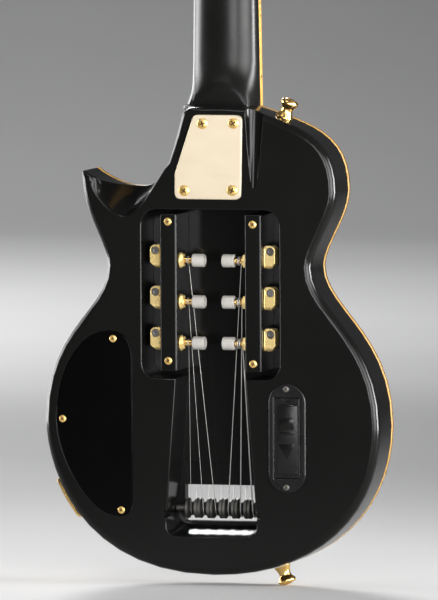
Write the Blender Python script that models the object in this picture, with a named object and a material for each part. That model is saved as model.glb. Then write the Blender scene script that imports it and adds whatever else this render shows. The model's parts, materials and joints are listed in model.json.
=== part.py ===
"""Headless travel guitar: full scale neck, tuners inside the body, strings turned round rollers at the tail.

The guitar stands upright with the neck along +Z and the tail at Z 0. The bass side is +X. The back faces -Y
and is the plane Y 0, and the front face is at Y BODY_DEPTH. All sizes are in metres.
"""
import math

import bmesh
import bpy
from mathutils import Matrix, Vector

# Body outline
BODY_DEPTH = 0.045
BODY_LENGTH = 0.358
LOWER_BOUT_HALF = 0.1324
LOWER_BOUT_Z = 0.1147
WAIST_HALF = 0.0790
WAIST_Z = 0.2363
UPPER_BOUT_HALF = 0.0990
UPPER_BOUT_Z = 0.294
TREBLE_LOWER_Z = 0.1175
TREBLE_WAIST_HALF = 0.0824
HORN_HALF = 0.1018
HORN_Z = 0.3037
BACK_ROUNDING = 0.0058
SCOOP_ROUNDING = 0.0016
HEEL_ROUNDING = 0.0036
HORN_CORNER = (-0.1019, 0.3109)
CUTAWAY_FRONT = (-0.064, 0.2955)
CUTAWAY_BACK = (-0.068, 0.2744)
CUTAWAY_DEPTH = 0.0375
CUTAWAY_HOLLOW = 0.78
HEEL_BACK_HALF = 0.0195
HEEL_FRONT_HALF = 0.031
SHOULDER_X = 0.030
RIM_ROUNDING = 0.0009
BINDING_WIDTH = 0.002
BINDING_HEIGHT = 0.0065

# Clearance between touching pieces, and between a shaft and its bore
GAP = 0.0003

# Neck, fretboard and scale
SCALE_LENGTH = 0.62865
SADDLE_SETBACK = 0.0012
NUT_WIDTH = 0.043
NUT_LENGTH = 0.0035
BOARD_END_WIDTH = 0.0560
FRET_COUNT = 22
BOARD_OVERHANG = 0.006
BOARD_THICKNESS = 0.006
BOARD_RISE = 0.006
BOARD_BINDING = 0.0016
FRET_WIDTH = 0.0024
FRET_HEIGHT = 0.0011
NECK_BACK_LOW = 0.0155
NECK_BACK_HIGH = 0.0140
NECK_ROUNDNESS = 2.1
HEEL_THICKNESS = 0.022
HEEL_END_Z = 0.284
HEEL_CROWN = 0.040
HEEL_BLEND = 0.042
HEEL_EDGE = 0.0011
HEEL_FLARE = 0.0030
HEEL_FLARE_LENGTH = 0.016
HEAD_LENGTH = 0.0125
ROD_RADIUS = 0.003
ROD_END_Z = 0.705

# Neck plate
PLATE_TOP = 0.3525
PLATE_BOTTOM = 0.288
PLATE_THICKNESS = 0.0016
PLATE_CORNER = 0.005

# Tuner cavity and string channel
CAVITY_HALF = 0.0546
CAVITY_BOTTOM = 0.1505
CAVITY_TOP = 0.280
CAVITY_CORNER = 0.0118
CAVITY_DEPTH = 0.036
CHANNEL_TOP_HALF = 0.0275
CHANNEL_SIDE_ROOM = 0.00565
CHANNEL_TAIL = 0.0295
CHANNEL_CORNER = 0.010
CHANNEL_RAMP = 0.0062
CHANNEL_LAP = 0.006
WELL_TOP = 0.084
WELL_FLOOR = 0.003
THUMB_SCOOP_X = 0.0353
THUMB_SCOOP_RADIUS = 0.0082
THUMB_SCOOP_END = 0.297
SLOT_TOP = 0.066

# Tuners
RAIL_WIDTH = 0.0134
RAIL_INNER = 0.0268
RAIL_BOTTOM = 0.156
RAIL_TOP = 0.2765
RAIL_FACE = 0.001
POST_HEIGHTS = (0.1772, 0.2088, 0.2405)
POST_Y = 0.0106
POST_RADIUS = 0.003
POST_WAIST = 0.0026
SLEEVE_RADIUS = 0.004
SLEEVE_END = 0.0228
WASHER_RADIUS = 0.0062
WASHER_THICKNESS = 0.0009
NUT_RADIUS = 0.0056
TUNER_NUT_THICKNESS = 0.0022
CAP_RADIUS = 0.0051
CAP_LENGTH = 0.0098
CAP_FACE = 0.0171
WORM_OFFSET = 0.0076
WORM_RADIUS = 0.0029
WORM_LENGTH = 0.0150
KEY_RADIUS = 0.0014
HOUSING_FACE = 0.006
HOUSING_DEPTH = 0.012
HOUSING_WIDTH = 0.0076
HOUSING_FLANGE = 0.001
HOUSING_NECK = 0.0003
HOUSING_CORNER = 0.0039
WINDING_MIDDLE = 0.02005
WINDING_TURNS = 2

# String rollers
ROLLER_Z = 0.0485
ROLLER_SETBACK = 0.0085
ROLLER_RADIUS = 0.0078
ROLLER_GROOVE = 0.0055
ROLLER_SPACE = 0.00035
ROLLER_PITCH = 0.00985
AXLE_RADIUS = 0.0025
AXLE_SEAT = 0.0026
AXLE_SLOT_LEAN = 0.002

# Strings, from the treble side to the bass side
STRING_DIAMETERS = (0.00030, 0.00040, 0.00050, 0.00070, 0.00095, 0.00120)
SADDLE_PITCH = 0.0102
NUT_PITCH = 0.0070
SADDLE_RISE = 0.0165
NUT_ACTION = 0.0017
ANCHOR_DROP = 0.0005

# Bridge and pickup
BRIDGE_Z = 0.10585
BRIDGE_LENGTH = 0.090
BRIDGE_WIDTH = 0.012
BRIDGE_LIFT = 0.005
BRIDGE_HEIGHT = 0.0075
STUD_X = 0.0372
STUD_RADIUS = 0.0055
STUD_DEPTH = 0.006
PICKUP_Z = 0.138
PICKUP_LENGTH = 0.0700
PICKUP_WIDTH = 0.0382
PICKUP_TOP = 0.0125
PICKUP_SINK = 0.0072

# Control cover
COVER_SIDE_X = -0.0626
COVER_SIDE_TOP = 0.166
COVER_SIDE_LOW = 0.057
COVER_TOP = (-0.081, 0.1865)
COVER_OUTER = (-0.1226, 0.1195)
COVER_LOW = (-0.076, 0.045)
COVER_THICKNESS = 0.002

# Battery box
BOX_CENTRE = (0.0606, 0.1063)
BOX_LENGTH = 0.0835
BOX_WIDTH = 0.0292
BOX_FLANGE = 0.002
LID_LENGTH = 0.0612
LID_WIDTH = 0.0198
LID_THICKNESS = 0.0018
TUB_WALL = 0.0012
BATTERY_LENGTH = 0.0485
BATTERY_WIDTH = 0.0172
BATTERY_DEPTH = 0.0262

# Jack, knobs and strap buttons
JACK_ANGLE = math.radians(211)
JACK_PLATE_LENGTH = 0.035
JACK_PLATE_WIDTH = 0.035
JACK_PLATE_CORNER = 0.004
JACK_PLATE_THICKNESS = 0.0018
JACK_RADIUS = 0.0047
JACK_BORE = 0.0033
JACK_BODY = 0.0085
JACK_LENGTH = 0.020
KNOBS = (("volume_knob", -0.084, 0.150), ("tone_knob", -0.092, 0.106))
KNOB_RADIUS = 0.0125
KNOB_HEIGHT = 0.0145
BUTTON_HEAD = 0.0069
BUTTON_NECK = 0.0044
BUTTON_BASE = 0.0067
BUTTON_HEIGHT = 0.0138
NECK_BUTTON_X = 0.053
TAIL_BUTTON_X = 0.0497

FRONT_Y = BODY_DEPTH
BOARD_BACK_Y = FRONT_Y + BOARD_RISE
BOARD_TOP_Y = BOARD_BACK_Y + BOARD_THICKNESS
ROD_Y = BOARD_BACK_Y - ROD_RADIUS - 0.0024
SADDLE_Y = FRONT_Y + SADDLE_RISE
WELL_DEPTH = BODY_DEPTH - WELL_FLOOR
ROLLER_Y = BODY_DEPTH - ROLLER_SETBACK
ROLLER_WIDTH = ROLLER_PITCH - ROLLER_SPACE
CHANNEL_TAIL_HALF = 3 * ROLLER_PITCH + CHANNEL_SIDE_ROOM
AXLE_HALF = CHANNEL_TAIL_HALF + AXLE_SEAT
NUT_STRING_Y = BOARD_TOP_Y + NUT_ACTION
ANCHOR_STRING_Y = BOARD_TOP_Y - ANCHOR_DROP
NUT_Z = BRIDGE_Z + SADDLE_SETBACK + SCALE_LENGTH
BOARD_END_Z = NUT_Z - SCALE_LENGTH * (1 - 2 ** (-FRET_COUNT / 12)) - BOARD_OVERHANG
RAIL_OUTER = RAIL_INNER + RAIL_WIDTH
HOUSING_X = RAIL_OUTER + GAP + HOUSING_FLANGE + HOUSING_NECK
WORM_X = HOUSING_X + HOUSING_WIDTH - HOUSING_CORNER


def clear_scene():
    for old in list(bpy.data.objects):
        bpy.data.objects.remove(old, do_unlink=True)


def material(name, colour, roughness, metallic=0.0):
    found = bpy.data.materials.get(name)
    if found:
        return found
    made = bpy.data.materials.new(name)
    made.use_nodes = True
    shader = made.node_tree.nodes["Principled BSDF"]
    shader.inputs["Base Color"].default_value = (*colour, 1.0)
    shader.inputs["Roughness"].default_value = roughness
    shader.inputs["Metallic"].default_value = metallic
    return made


def satin_black():
    return material("satin_black_lacquer", (0.014, 0.014, 0.015), 0.34)


def gloss_black():
    return material("gloss_black_plastic", (0.008, 0.008, 0.009), 0.12)


def black_plastic():
    return material("black_moulded_plastic", (0.020, 0.020, 0.022), 0.45)


def black_metal():
    return material("black_painted_metal", (0.020, 0.020, 0.020), 0.35, 0.6)


def gold():
    return material("gold_plating", (0.86, 0.62, 0.24), 0.22, 1.0)


def pale_gold():
    return material("pale_gold_plate", (0.90, 0.78, 0.55), 0.25, 1.0)


def steel():
    return material("string_steel", (0.62, 0.61, 0.60), 0.25, 1.0)


def dark_steel():
    return material("dark_steel", (0.22, 0.21, 0.20), 0.30, 1.0)


def amber():
    return material("amber_binding", (0.72, 0.42, 0.10), 0.30)


def rosewood():
    return material("dark_rosewood", (0.045, 0.024, 0.016), 0.50)


def off_white():
    return material("off_white_plastic", (0.66, 0.64, 0.60), 0.35)


def battery_wrap():
    return material("battery_wrap", (0.10, 0.10, 0.11), 0.40, 0.3)


def mesh_object(name, bm, finish=None):
    """Turns a bmesh into an object, with its faces pointing outwards."""
    bmesh.ops.remove_doubles(bm, verts=bm.verts, dist=1e-7)
    bmesh.ops.recalc_face_normals(bm, faces=bm.faces)
    mesh = bpy.data.meshes.new(name)
    bm.to_mesh(mesh)
    bm.free()
    made = bpy.data.objects.new(name, mesh)
    bpy.context.scene.collection.objects.link(made)
    if finish:
        mesh.materials.append(finish)
    return made


def smooth(part, degrees=35):
    part.data.shade_smooth()
    part.data.set_sharp_from_angle(angle=math.radians(degrees))
    return part


def ring_stack(rings, closed=False):
    """A skin over rings of equal point count: capped at both ends, or joined last to first if closed."""
    bm = bmesh.new()
    loops = [[bm.verts.new(point) for point in ring] for ring in rings]
    pairs = list(zip(loops, loops[1:]))
    if closed:
        pairs.append((loops[-1], loops[0]))
    for low, high in pairs:
        count = len(low)
        for k in range(count):
            bm.faces.new((low[k], low[(k + 1) % count], high[(k + 1) % count], high[k]))
    if not closed:
        bm.faces.new(loops[0])
        bm.faces.new(reversed(loops[-1]))
    return bm


def prism_y(outline, low, high):
    """A prism between two depths, from an outline in X and Z."""
    return ring_stack([[Vector((x, y, z)) for x, z in outline] for y in (low, high)])


def prism_x(outline, low, high):
    """A prism between two X places, from an outline in Y and Z."""
    return ring_stack([[Vector((x, y, z)) for y, z in outline] for x in (low, high)])


def box(low, high):
    corners = ((low[0], low[2]), (high[0], low[2]), (high[0], high[2]), (low[0], high[2]))
    return prism_y(corners, low[1], high[1])


def lathe(profile, segments, place=None, bored=False):
    """A turned solid about local Z from (radius, height) points, where bored joins the last to the first."""
    bm = bmesh.new()
    rows = []
    for radius, height in profile:
        if radius < 1e-9:
            rows.append([bm.verts.new((0, 0, height))])
            continue
        turn = [2 * math.pi * k / segments for k in range(segments)]
        rows.append([bm.verts.new((radius * math.cos(a), radius * math.sin(a), height)) for a in turn])
    pairs = list(zip(rows, rows[1:]))
    if bored:
        pairs.append((rows[-1], rows[0]))
    for low, high in pairs:
        for k in range(segments):
            after = k + 1
            ends = [low[k % len(low)], low[after % len(low)], high[after % len(high)], high[k % len(high)]]
            face = list(dict.fromkeys(ends))
            if len(face) > 2:
                bm.faces.new(face)
    if not bored:
        for row in (rows[0], rows[-1]):
            if len(row) > 1:
                bm.faces.new(row)
    if place:
        bmesh.ops.transform(bm, matrix=place, verts=bm.verts)
    return bm


def along(direction, point=(0, 0, 0)):
    """The placement that turns local Z to a direction and moves the origin to a point."""
    return Matrix.Translation(point) @ Vector(direction).to_track_quat("Z", "Y").to_matrix().to_4x4()


def modify(part, other, operation):
    step = part.modifiers.new(operation.lower(), "BOOLEAN")
    step.operation = operation
    step.solver = "EXACT"
    step.object = other
    other.hide_render = True
    other.display_type = "WIRE"


def cut(part, name, bm):
    modify(part, mesh_object(name, bm), "DIFFERENCE")


def fuse(part, name, bm):
    modify(part, mesh_object(name, bm), "UNION")


def bevel(part, width, segments=2, degrees=40):
    step = part.modifiers.new("bevel", "BEVEL")
    step.width = width
    step.segments = segments
    step.limit_method = "ANGLE"
    step.angle_limit = math.radians(degrees)


def applied(part):
    """Bakes a part's modifiers into its mesh and removes the helpers that they used."""
    helpers = [step.object for step in part.modifiers if step.type == "BOOLEAN"]
    evaluated = part.evaluated_get(bpy.context.evaluated_depsgraph_get())
    finished = bpy.data.meshes.new_from_object(evaluated)
    part.modifiers.clear()
    part.data = finished
    for helper in helpers:
        bpy.data.objects.remove(helper, do_unlink=True)
    return part


def arc(centre, radius, start, end, count):
    """Points on an arc, with angles in degrees."""
    turns = [math.radians(start + (end - start) * k / (count - 1)) for k in range(count)]
    return [(centre[0] + radius * math.cos(a), centre[1] + radius * math.sin(a)) for a in turns]


def rounded_box(left, right, bottom, top, radius, count=5):
    corners = (
        (right - radius, bottom + radius, -90),
        (right - radius, top - radius, 0),
        (left + radius, top - radius, 90),
        (left + radius, bottom + radius, 180),
    )
    points = []
    for x, z, start in corners:
        points += arc((x, z), radius, start, start + 90, count)
    return points


def rounded_polygon(corners, radius, count=4):
    """A polygon whose corners are rounded with one radius."""
    points = []
    total = len(corners)
    for k in range(total):
        here = Vector(corners[k])
        to_last = (Vector(corners[k - 1]) - here).normalized()
        to_next = (Vector(corners[(k + 1) % total]) - here).normalized()
        half = to_last.angle(to_next) / 2
        start = here + to_last * radius / math.tan(half)
        end = here + to_next * radius / math.tan(half)
        for step in range(count):
            t = step / (count - 1)
            points.append(tuple(start * (1 - t) ** 2 + here * 2 * t * (1 - t) + end * t * t))
    return points


def bezier(start, out_handle, in_handle, end, count):
    """Points on a cubic from start up to, but not including, end. Handles are offsets from their own ends."""
    a = Vector(start)
    b = a + Vector(out_handle)
    d = Vector(end)
    c = d + Vector(in_handle)
    points = []
    for k in range(count):
        t = k / count
        u = 1 - t
        points.append(a * u ** 3 + b * 3 * u * u * t + c * 3 * u * t * t + d * t ** 3)
    return points


def bass_side():
    """The outline from the tail up the bass side to the neck."""
    lower = (LOWER_BOUT_HALF, LOWER_BOUT_Z)
    waist = (WAIST_HALF, WAIST_Z)
    upper = (UPPER_BOUT_HALF, UPPER_BOUT_Z)
    shoulder = (SHOULDER_X, BODY_LENGTH - 0.0006)
    points = bezier((0.0, 0.0), (0.0826, 0), (0, -0.0663), lower, 14)
    points += bezier(lower, (0, 0.0698), (0, -0.0327), waist, 11)
    points += bezier(waist, (0, 0.0144), (0, -0.0194), upper, 7)
    points += bezier(upper, (0, 0.0436), (0.040, -0.0138), shoulder, 12)
    return points


def treble_side():
    """The outline from the horn's outer side down the treble side to the tail."""
    waist = (-TREBLE_WAIST_HALF, WAIST_Z)
    lower = (-LOWER_BOUT_HALF, TREBLE_LOWER_Z)
    points = bezier((-HORN_HALF, HORN_Z), (0, -0.0289), (0, 0.0173), waist, 9)
    points += bezier(waist, (0, -0.0344), (0, 0.0706), lower, 11)
    points += bezier(lower, (0, -0.0336), (-0.1100, 0), (0.0, 0.0), 14)
    return points


def horn_tip(start, outer):
    """The rounded corner of the horn, from the cutaway's edge to the horn's outer side."""
    corner = Vector(HORN_CORNER)
    return bezier(start, (corner - Vector(start)) * 0.75, (corner - Vector(outer)) * 0.75, outer, 6)


def cutaway(front):
    """The outline from the neck joint into the cutaway and out round the horn, on the front or the back."""
    if front:
        side = (-HEEL_FRONT_HALF, BODY_LENGTH - 0.003)
        knee = (-0.0380, 0.3165)
        hollow = CUTAWAY_FRONT
        near_tip = (-0.0983, 0.3078)
        turns = ((-0.001, -0.014), (0.002, 0.010), (-0.003, -0.012), (0.012, 0), (-0.014, 0),
                 (0.008, -0.0055))
    else:
        side = (-HEEL_BACK_HALF - 0.0022, BODY_LENGTH - 0.006)
        knee = (-0.0322, 0.3155)
        hollow = CUTAWAY_BACK
        near_tip = (-0.0981, 0.3067)
        turns = ((-0.003, -0.012), (0.0036, 0.012), (-0.010, -0.010), (0.013, 0), (-0.012, 0),
                 (0.003, -0.010))
    points = bezier((joint_end(front), BODY_LENGTH), (-0.002, 0), (0, 0.002), side, 3)
    points += bezier(side, turns[0], turns[1], knee, 7)
    points += bezier(knee, turns[2], turns[3], hollow, 9)
    points += bezier(hollow, turns[4], turns[5], near_tip, 11)
    return points + horn_tip(near_tip, (-HORN_HALF, HORN_Z))


def joint_end(front):
    """Where the edge across the neck joint ends on the treble side."""
    return -HEEL_FRONT_HALF + 0.003 if front else -HEEL_BACK_HALF + 0.0055


def joint_edge(front):
    """The short edge across the neck joint, from the shoulder to the treble side of the heel."""
    shoulder = (SHOULDER_X, BODY_LENGTH - 0.0006)
    return bezier(shoulder, (-0.006, 0.0006), (0.010, 0), (joint_end(front), BODY_LENGTH), 4)


def body_outline(front=True):
    return bass_side() + joint_edge(front) + cutaway(front) + treble_side()


def distance_to(outline, point):
    """The shortest distance from a point to a closed outline."""
    best = 1.0
    for start, end in zip(outline, outline[1:] + outline[:1]):
        span = end - start
        share = min(1.0, max(0.0, (point - start).dot(span) / max(span.length_squared, 1e-18)))
        best = min(best, (start + span * share - point).length)
    return best


def inset(points, distance):
    """An outline moved inwards by one distance or by each point's own. Points that cross are joined."""
    total = len(points)
    steps = distance if isinstance(distance, list) else [distance] * total
    moved = []
    for k in range(total):
        across = (points[(k + 1) % total] - points[k - 1]).normalized()
        moved.append(points[k] + Vector((-across.y, across.x)) * steps[k])
    crossed = [k for k in range(total) if distance_to(points, moved[k]) < steps[k] * 0.96]
    while crossed:
        run = [crossed.pop(0)]
        while crossed and crossed[0] == run[-1] + 1:
            run.append(crossed.pop(0))
        ends = (moved[run[0] - 1], moved[(run[-1] + 1) % total])
        for k in run:
            share = (k - run[0] + 1) / (len(run) + 1)
            moved[k] = ends[0].lerp(ends[1], share)
    return moved


def smooth_share(value):
    value = min(1.0, max(0.0, value))
    return value * value * (3 - 2 * value)


def scoop_starts():
    """The depth at which the cutaway's scoop leaves the side wall, for each outline point."""
    scooped = [CUTAWAY_DEPTH * smooth_share((p.x - HORN_CORNER[0] - 0.0085) / 0.026) for p in cutaway(True)]
    return [0.0] * len(bass_side()) + [CUTAWAY_DEPTH] * 4 + scooped + [0.0] * len(treble_side())


def edge_radii():
    """The radius of the back edge for each outline point: small in the cutaway's scoop."""
    inner = [HEEL_ROUNDING if p.x > -0.036 else SCOOP_ROUNDING for p in cutaway(True)]
    radii = [BACK_ROUNDING] * len(bass_side()) + [HEEL_ROUNDING] * 4 + inner
    radii += [BACK_ROUNDING] * len(treble_side())
    total = len(radii)
    for _ in range(4):
        radii = [(radii[k - 1] + radii[k] * 2 + radii[(k + 1) % total]) / 4 for k in range(total)]
    return radii


def ring_at(points, depths):
    return [Vector((p.x, y, p.y)) for p, y in zip(points, depths)]


def body_shell():
    """The body's outer form: binding ledge, side wall, the cutaway's hollow scoop and rounded back edge."""
    front = body_outline(True)
    back = body_outline(False)
    total = len(front)
    starts = scoop_starts()
    radii = edge_radii()
    ledge = FRONT_Y - BINDING_HEIGHT - GAP

    def wall(k, y):
        share = 0.0 if starts[k] < 1e-6 else max(0.0, 1 - y / starts[k]) ** CUTAWAY_HOLLOW
        return front[k].lerp(back[k], share)

    inner = inset(front, BINDING_WIDTH + GAP)
    rings = [ring_at(inner, [FRONT_Y] * total), ring_at(inner, [ledge] * total)]
    rings.append(ring_at(front, [ledge] * total))
    for share in (1.0, 0.86, 0.64, 0.36):
        depths = [radii[k] + (max(starts[k], 2.0 * radii[k]) - radii[k]) * share for k in range(total)]
        rings.append(ring_at([wall(k, depths[k]) for k in range(total)], depths))
    for turn in (0, 30, 60, 90):
        angle = math.radians(turn)
        depths = [radius * (1 - math.sin(angle)) for radius in radii]
        base = [wall(k, depths[k]) for k in range(total)]
        rings.append(ring_at(inset(base, [radius * (1 - math.cos(angle)) for radius in radii]), depths))
    shell = ring_stack(rings)
    bmesh.ops.dissolve_limit(shell, angle_limit=math.radians(0.15), verts=shell.verts, edges=shell.edges)
    return shell


def soft_least(first, second, blend):
    """The smaller of two sizes, with the corner between them rounded."""
    return min(first, second) - blend * math.log(1 + math.exp(-abs(first - second) / blend))


def heel_section(z, extra=0.0):
    """The neck's section at one height: flat in front, round behind, with the heel's flat at the joint."""
    above = min(1.0, max(0.0, (z - BODY_LENGTH) / HEEL_BLEND))
    rise = min(1.0, max(0.0, (z - BODY_LENGTH - HEEL_BLEND) / (NUT_Z - BODY_LENGTH - HEEL_BLEND)))
    round_depth = NECK_BACK_LOW + (NECK_BACK_HIGH - NECK_BACK_LOW) * rise
    crown = round_depth + (HEEL_CROWN - round_depth) * (1 - above) ** 2.6
    flare = 0.0
    if z > BODY_LENGTH + 1.5 * GAP:
        flare = HEEL_FLARE * max(0.0, 1 - (z - BODY_LENGTH) / HEEL_FLARE_LENGTH) ** 2
    half = board_half(z) - 0.0002 + extra
    points = []
    count = 20
    for k in range(count + 1):
        angle = math.pi * k / count
        c = math.cos(angle)
        s = abs(math.sin(angle)) ** (2 / NECK_ROUNDNESS)
        x = (half + (flare if c < 0 else 0.0)) * math.copysign(abs(c) ** (2 / NECK_ROUNDNESS), c)
        deep = 0.0 if s < 1e-9 else soft_least(crown * s, HEEL_THICKNESS, min(HEEL_EDGE, crown * s))
        points.append(Vector((x, BOARD_BACK_Y - GAP + extra - deep - 2 * extra * min(1.0, 4 * s), z)))
    return points


def board_half(z):
    share = (NUT_Z - z) / (NUT_Z - BOARD_END_Z)
    return (NUT_WIDTH + (BOARD_END_WIDTH - NUT_WIDTH) * share) / 2


def pocket_cutter():
    rings = []
    for z in (HEEL_END_Z - GAP, BODY_LENGTH + 0.004):
        ring = heel_section(min(z, BODY_LENGTH), GAP)
        for point in ring:
            point.z = z
        ring[0].y = FRONT_Y + 0.010
        ring[-1].y = FRONT_Y + 0.010
        rings.append(ring)
    return ring_stack(rings)


def rimmed_prism(outlines):
    """A cutter from the back through (depth, outline) pairs, whose mouth is rounded outwards."""
    first = [Vector(point) for point in outlines[0][1]]
    rings = [ring_at(inset(first, -RIM_ROUNDING), [-0.002] * len(first))]
    for turn in (0, 45, 90):
        angle = math.radians(turn)
        depth = RIM_ROUNDING * (1 - math.cos(angle))
        rings.append(ring_at(inset(first, -RIM_ROUNDING * (1 - math.sin(angle))), [depth] * len(first)))
    for depth, outline in outlines[1:]:
        rings.append([Vector((x, depth, z)) for x, z in outline])
    return ring_stack(rings)


def channel_outline(tail):
    """The string channel's outline in X and Z, wider at the tail, for a given tail end."""
    slope = (CHANNEL_TAIL_HALF - CHANNEL_TOP_HALF) / (CAVITY_BOTTOM - ROLLER_Z)
    top = CAVITY_BOTTOM + CHANNEL_LAP
    half_tail = CHANNEL_TOP_HALF + slope * (CAVITY_BOTTOM - tail)
    half_top = CHANNEL_TOP_HALF - slope * CHANNEL_LAP
    corners = ((-half_tail, tail), (half_tail, tail), (half_top, top), (-half_top, top))
    points = rounded_polygon(corners, CHANNEL_CORNER, 5)
    return points[:10] + [corners[2], corners[3]]


def channel_cutter():
    ramp = ((0.0, 0.0), (0.016, 0.12), (0.030, 0.6), (CAVITY_DEPTH, 1.0))
    outlines = [(depth, channel_outline(CHANNEL_TAIL + CHANNEL_RAMP * share)) for depth, share in ramp]
    return rimmed_prism(outlines)


def axle_slot_cutter():
    """The slot that the axle drops into from the back, leaning towards the neck with depth."""
    reach = AXLE_RADIUS + GAP
    outline = [(-0.002, ROLLER_Z - AXLE_SLOT_LEAN - reach), (-0.002, ROLLER_Z - AXLE_SLOT_LEAN + reach)]
    outline += [(y, z) for y, z in arc((ROLLER_Y, ROLLER_Z), reach, 90, -90, 9)]
    return prism_x(outline, -AXLE_HALF - GAP, AXLE_HALF + GAP)


def thumb_scoop_cutter():
    """The hollow beside the heel on the bass side, a tapered round cut that runs out down the back."""
    top = Vector((THUMB_SCOOP_X, 0.0, BODY_LENGTH + 0.010))
    low_radius = THUMB_SCOOP_RADIUS * 0.45
    low = Vector((THUMB_SCOOP_X - 0.0005, -0.93 * low_radius, THUMB_SCOOP_END))
    return lathe([(low_radius, 0), (THUMB_SCOOP_RADIUS, (top - low).length)], 32, along(top - low, low))


def cover_outline(grow):
    """The D shape of the control cover: curved beside the lower bout, straight on its inner side."""
    points = bezier((COVER_SIDE_X, COVER_SIDE_TOP), (0, 0.014), (0.012, 0), COVER_TOP, 5)
    points += bezier(COVER_TOP, (-0.023, 0), (0, 0.036), COVER_OUTER, 9)
    points += bezier(COVER_OUTER, (0, -0.034), (-0.020, 0.002), COVER_LOW, 9)
    points += bezier(COVER_LOW, (0.0085, -0.0008), (0, -0.010), (COVER_SIDE_X, COVER_SIDE_LOW), 5)
    points.append(Vector((COVER_SIDE_X, COVER_SIDE_LOW)))
    return inset(points, -grow)


def rim_touch():
    """The number of the outline point whose outward direction is nearest to the jack's angle."""
    outward = Vector((math.cos(JACK_ANGLE), math.sin(JACK_ANGLE)))
    outline = body_outline(True)
    return max(range(len(outline)), key=lambda k: outline[k].dot(outward))


def jack_place(lift=0.0):
    """The jack's placement on the side wall, with its own Z pointing outwards."""
    outline = body_outline(True)
    touch = rim_touch()
    across = (outline[touch + 1] - outline[touch - 1]).normalized()
    outward = Vector((across.y, 0, -across.x))
    side = Vector((across.x, 0, across.y))
    centre = Vector((outline[touch].x, BODY_DEPTH / 2, outline[touch].y)) + outward * lift
    frame = Matrix((side, Vector((0, -1, 0)), outward)).transposed().to_4x4()
    return Matrix.Translation(centre) @ frame


def button_place(x, top):
    """A strap button's placement on the outline's side wall at a given X, near the neck or at the tail."""
    outline = body_outline(True)
    total = len(outline)
    near = [k for k in range(total) if (outline[k].y > WAIST_Z) == top and outline[k].x > 0]
    k = max(near, key=lambda i: -abs(outline[i].x - x))
    start, end = (outline[k], outline[k + 1]) if (outline[k].x > x) == top else (outline[k - 1], outline[k])
    share = (x - start.x) / (end.x - start.x)
    point = start.lerp(end, share)
    across = (end - start).normalized()
    return along((across.y, 0, -across.x), (point.x, BODY_DEPTH / 2, point.y))


def cut_tail_well(part):
    """The deep end of the channel, where the strings pass through the slot to the front."""
    half = 3 * ROLLER_PITCH + 0.001
    tail = CHANNEL_TAIL + CHANNEL_RAMP + 0.0028
    cut(part, "cut_well", box((-half, CAVITY_DEPTH - 0.001, tail), (half, WELL_DEPTH, WELL_TOP)))
    cut(part, "cut_slot", box((-half, WELL_DEPTH - 0.001, tail), (half, FRONT_Y + 0.002, SLOT_TOP)))
    cut(part, "cut_axle", axle_slot_cutter())


def cut_front(part):
    """The front's pocket for the pickup and the two bores for the bridge's studs."""
    half = PICKUP_LENGTH / 2 + 0.0008
    across = PICKUP_WIDTH / 2 + 0.0008
    low = (-half, FRONT_Y - PICKUP_SINK - GAP, PICKUP_Z - across)
    cut(part, "cut_pickup", box(low, (half, FRONT_Y + 0.002, PICKUP_Z + across)))
    for side in (-1, 1):
        place = along((0, 1, 0), (side * STUD_X, FRONT_Y - STUD_DEPTH - GAP, BRIDGE_Z))
        cut(part, "cut_stud", lathe([(STUD_RADIUS + GAP, 0), (STUD_RADIUS + GAP, 0.02)], 20, place))


def make_body():
    part = smooth(mesh_object("body", body_shell(), satin_black()), 30)
    cavity = rounded_box(-CAVITY_HALF, CAVITY_HALF, CAVITY_BOTTOM, CAVITY_TOP, CAVITY_CORNER, 6)
    cut(part, "cut_cavity", rimmed_prism([(0.0, cavity), (CAVITY_DEPTH, cavity)]))
    cut(part, "cut_channel", channel_cutter())
    cut_tail_well(part)
    cut(part, "cut_pocket", pocket_cutter())
    cut(part, "cut_thumb", thumb_scoop_cutter())
    cover = [(p.x, p.y) for p in cover_outline(GAP)]
    cut(part, "cut_cover", prism_y(cover, -0.002, COVER_THICKNESS + GAP))
    width, length, depth = tub_size()
    x, z = BOX_CENTRE
    low = (x - width / 2 - GAP, -0.002, z - length / 2 - GAP)
    cut(part, "cut_battery", box(low, (x + width / 2 + GAP, depth + GAP, z + length / 2 + GAP)))
    cut_front(part)
    bore = JACK_BODY + 0.0015
    cut(part, "cut_jack", lathe([(bore, -JACK_LENGTH - 0.003), (bore, 0.004)], 24, jack_place()))
    return part


def make_binding():
    front = body_outline(True)
    inner = inset(front, BINDING_WIDTH)
    low = FRONT_Y - BINDING_HEIGHT
    rings = [
        [Vector((p.x, low, p.y)) for p in front],
        [Vector((p.x, FRONT_Y, p.y)) for p in front],
        [Vector((p.x, FRONT_Y, p.y)) for p in inner],
        [Vector((p.x, low, p.y)) for p in inner],
    ]
    part = smooth(mesh_object("body_binding", ring_stack(rings, closed=True), amber()), 30)
    half = board_half(BODY_LENGTH) + 0.0008
    gap = box((-half, low - 0.002, HEEL_END_Z), (half, FRONT_Y + 0.002, BODY_LENGTH + 0.004))
    cut(part, "cut_binding", gap)
    return part


def make_neck():
    stations = [HEEL_END_Z, BODY_LENGTH]
    shares = (0, 0.01, 0.1, 0.2, 0.28, 0.36, 0.44, 0.54, 0.66, 0.8, 1)
    stations += [BODY_LENGTH + GAP + HEEL_BLEND * share for share in shares]
    stations += [0.46, 0.54, 0.64, NUT_Z, NUT_Z + NUT_LENGTH + HEAD_LENGTH - 0.0015]
    part = smooth(mesh_object("neck", ring_stack([heel_section(z) for z in stations]), satin_black()), 40)
    bore = ROD_RADIUS + GAP
    start = Vector((0, ROD_Y, HEEL_END_Z - 0.001))
    cut(part, "cut_rod", lathe([(bore, 0), (bore, ROD_END_Z + GAP - start.z)], 16, along((0, 0, 1), start)))
    return applied(part)


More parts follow.
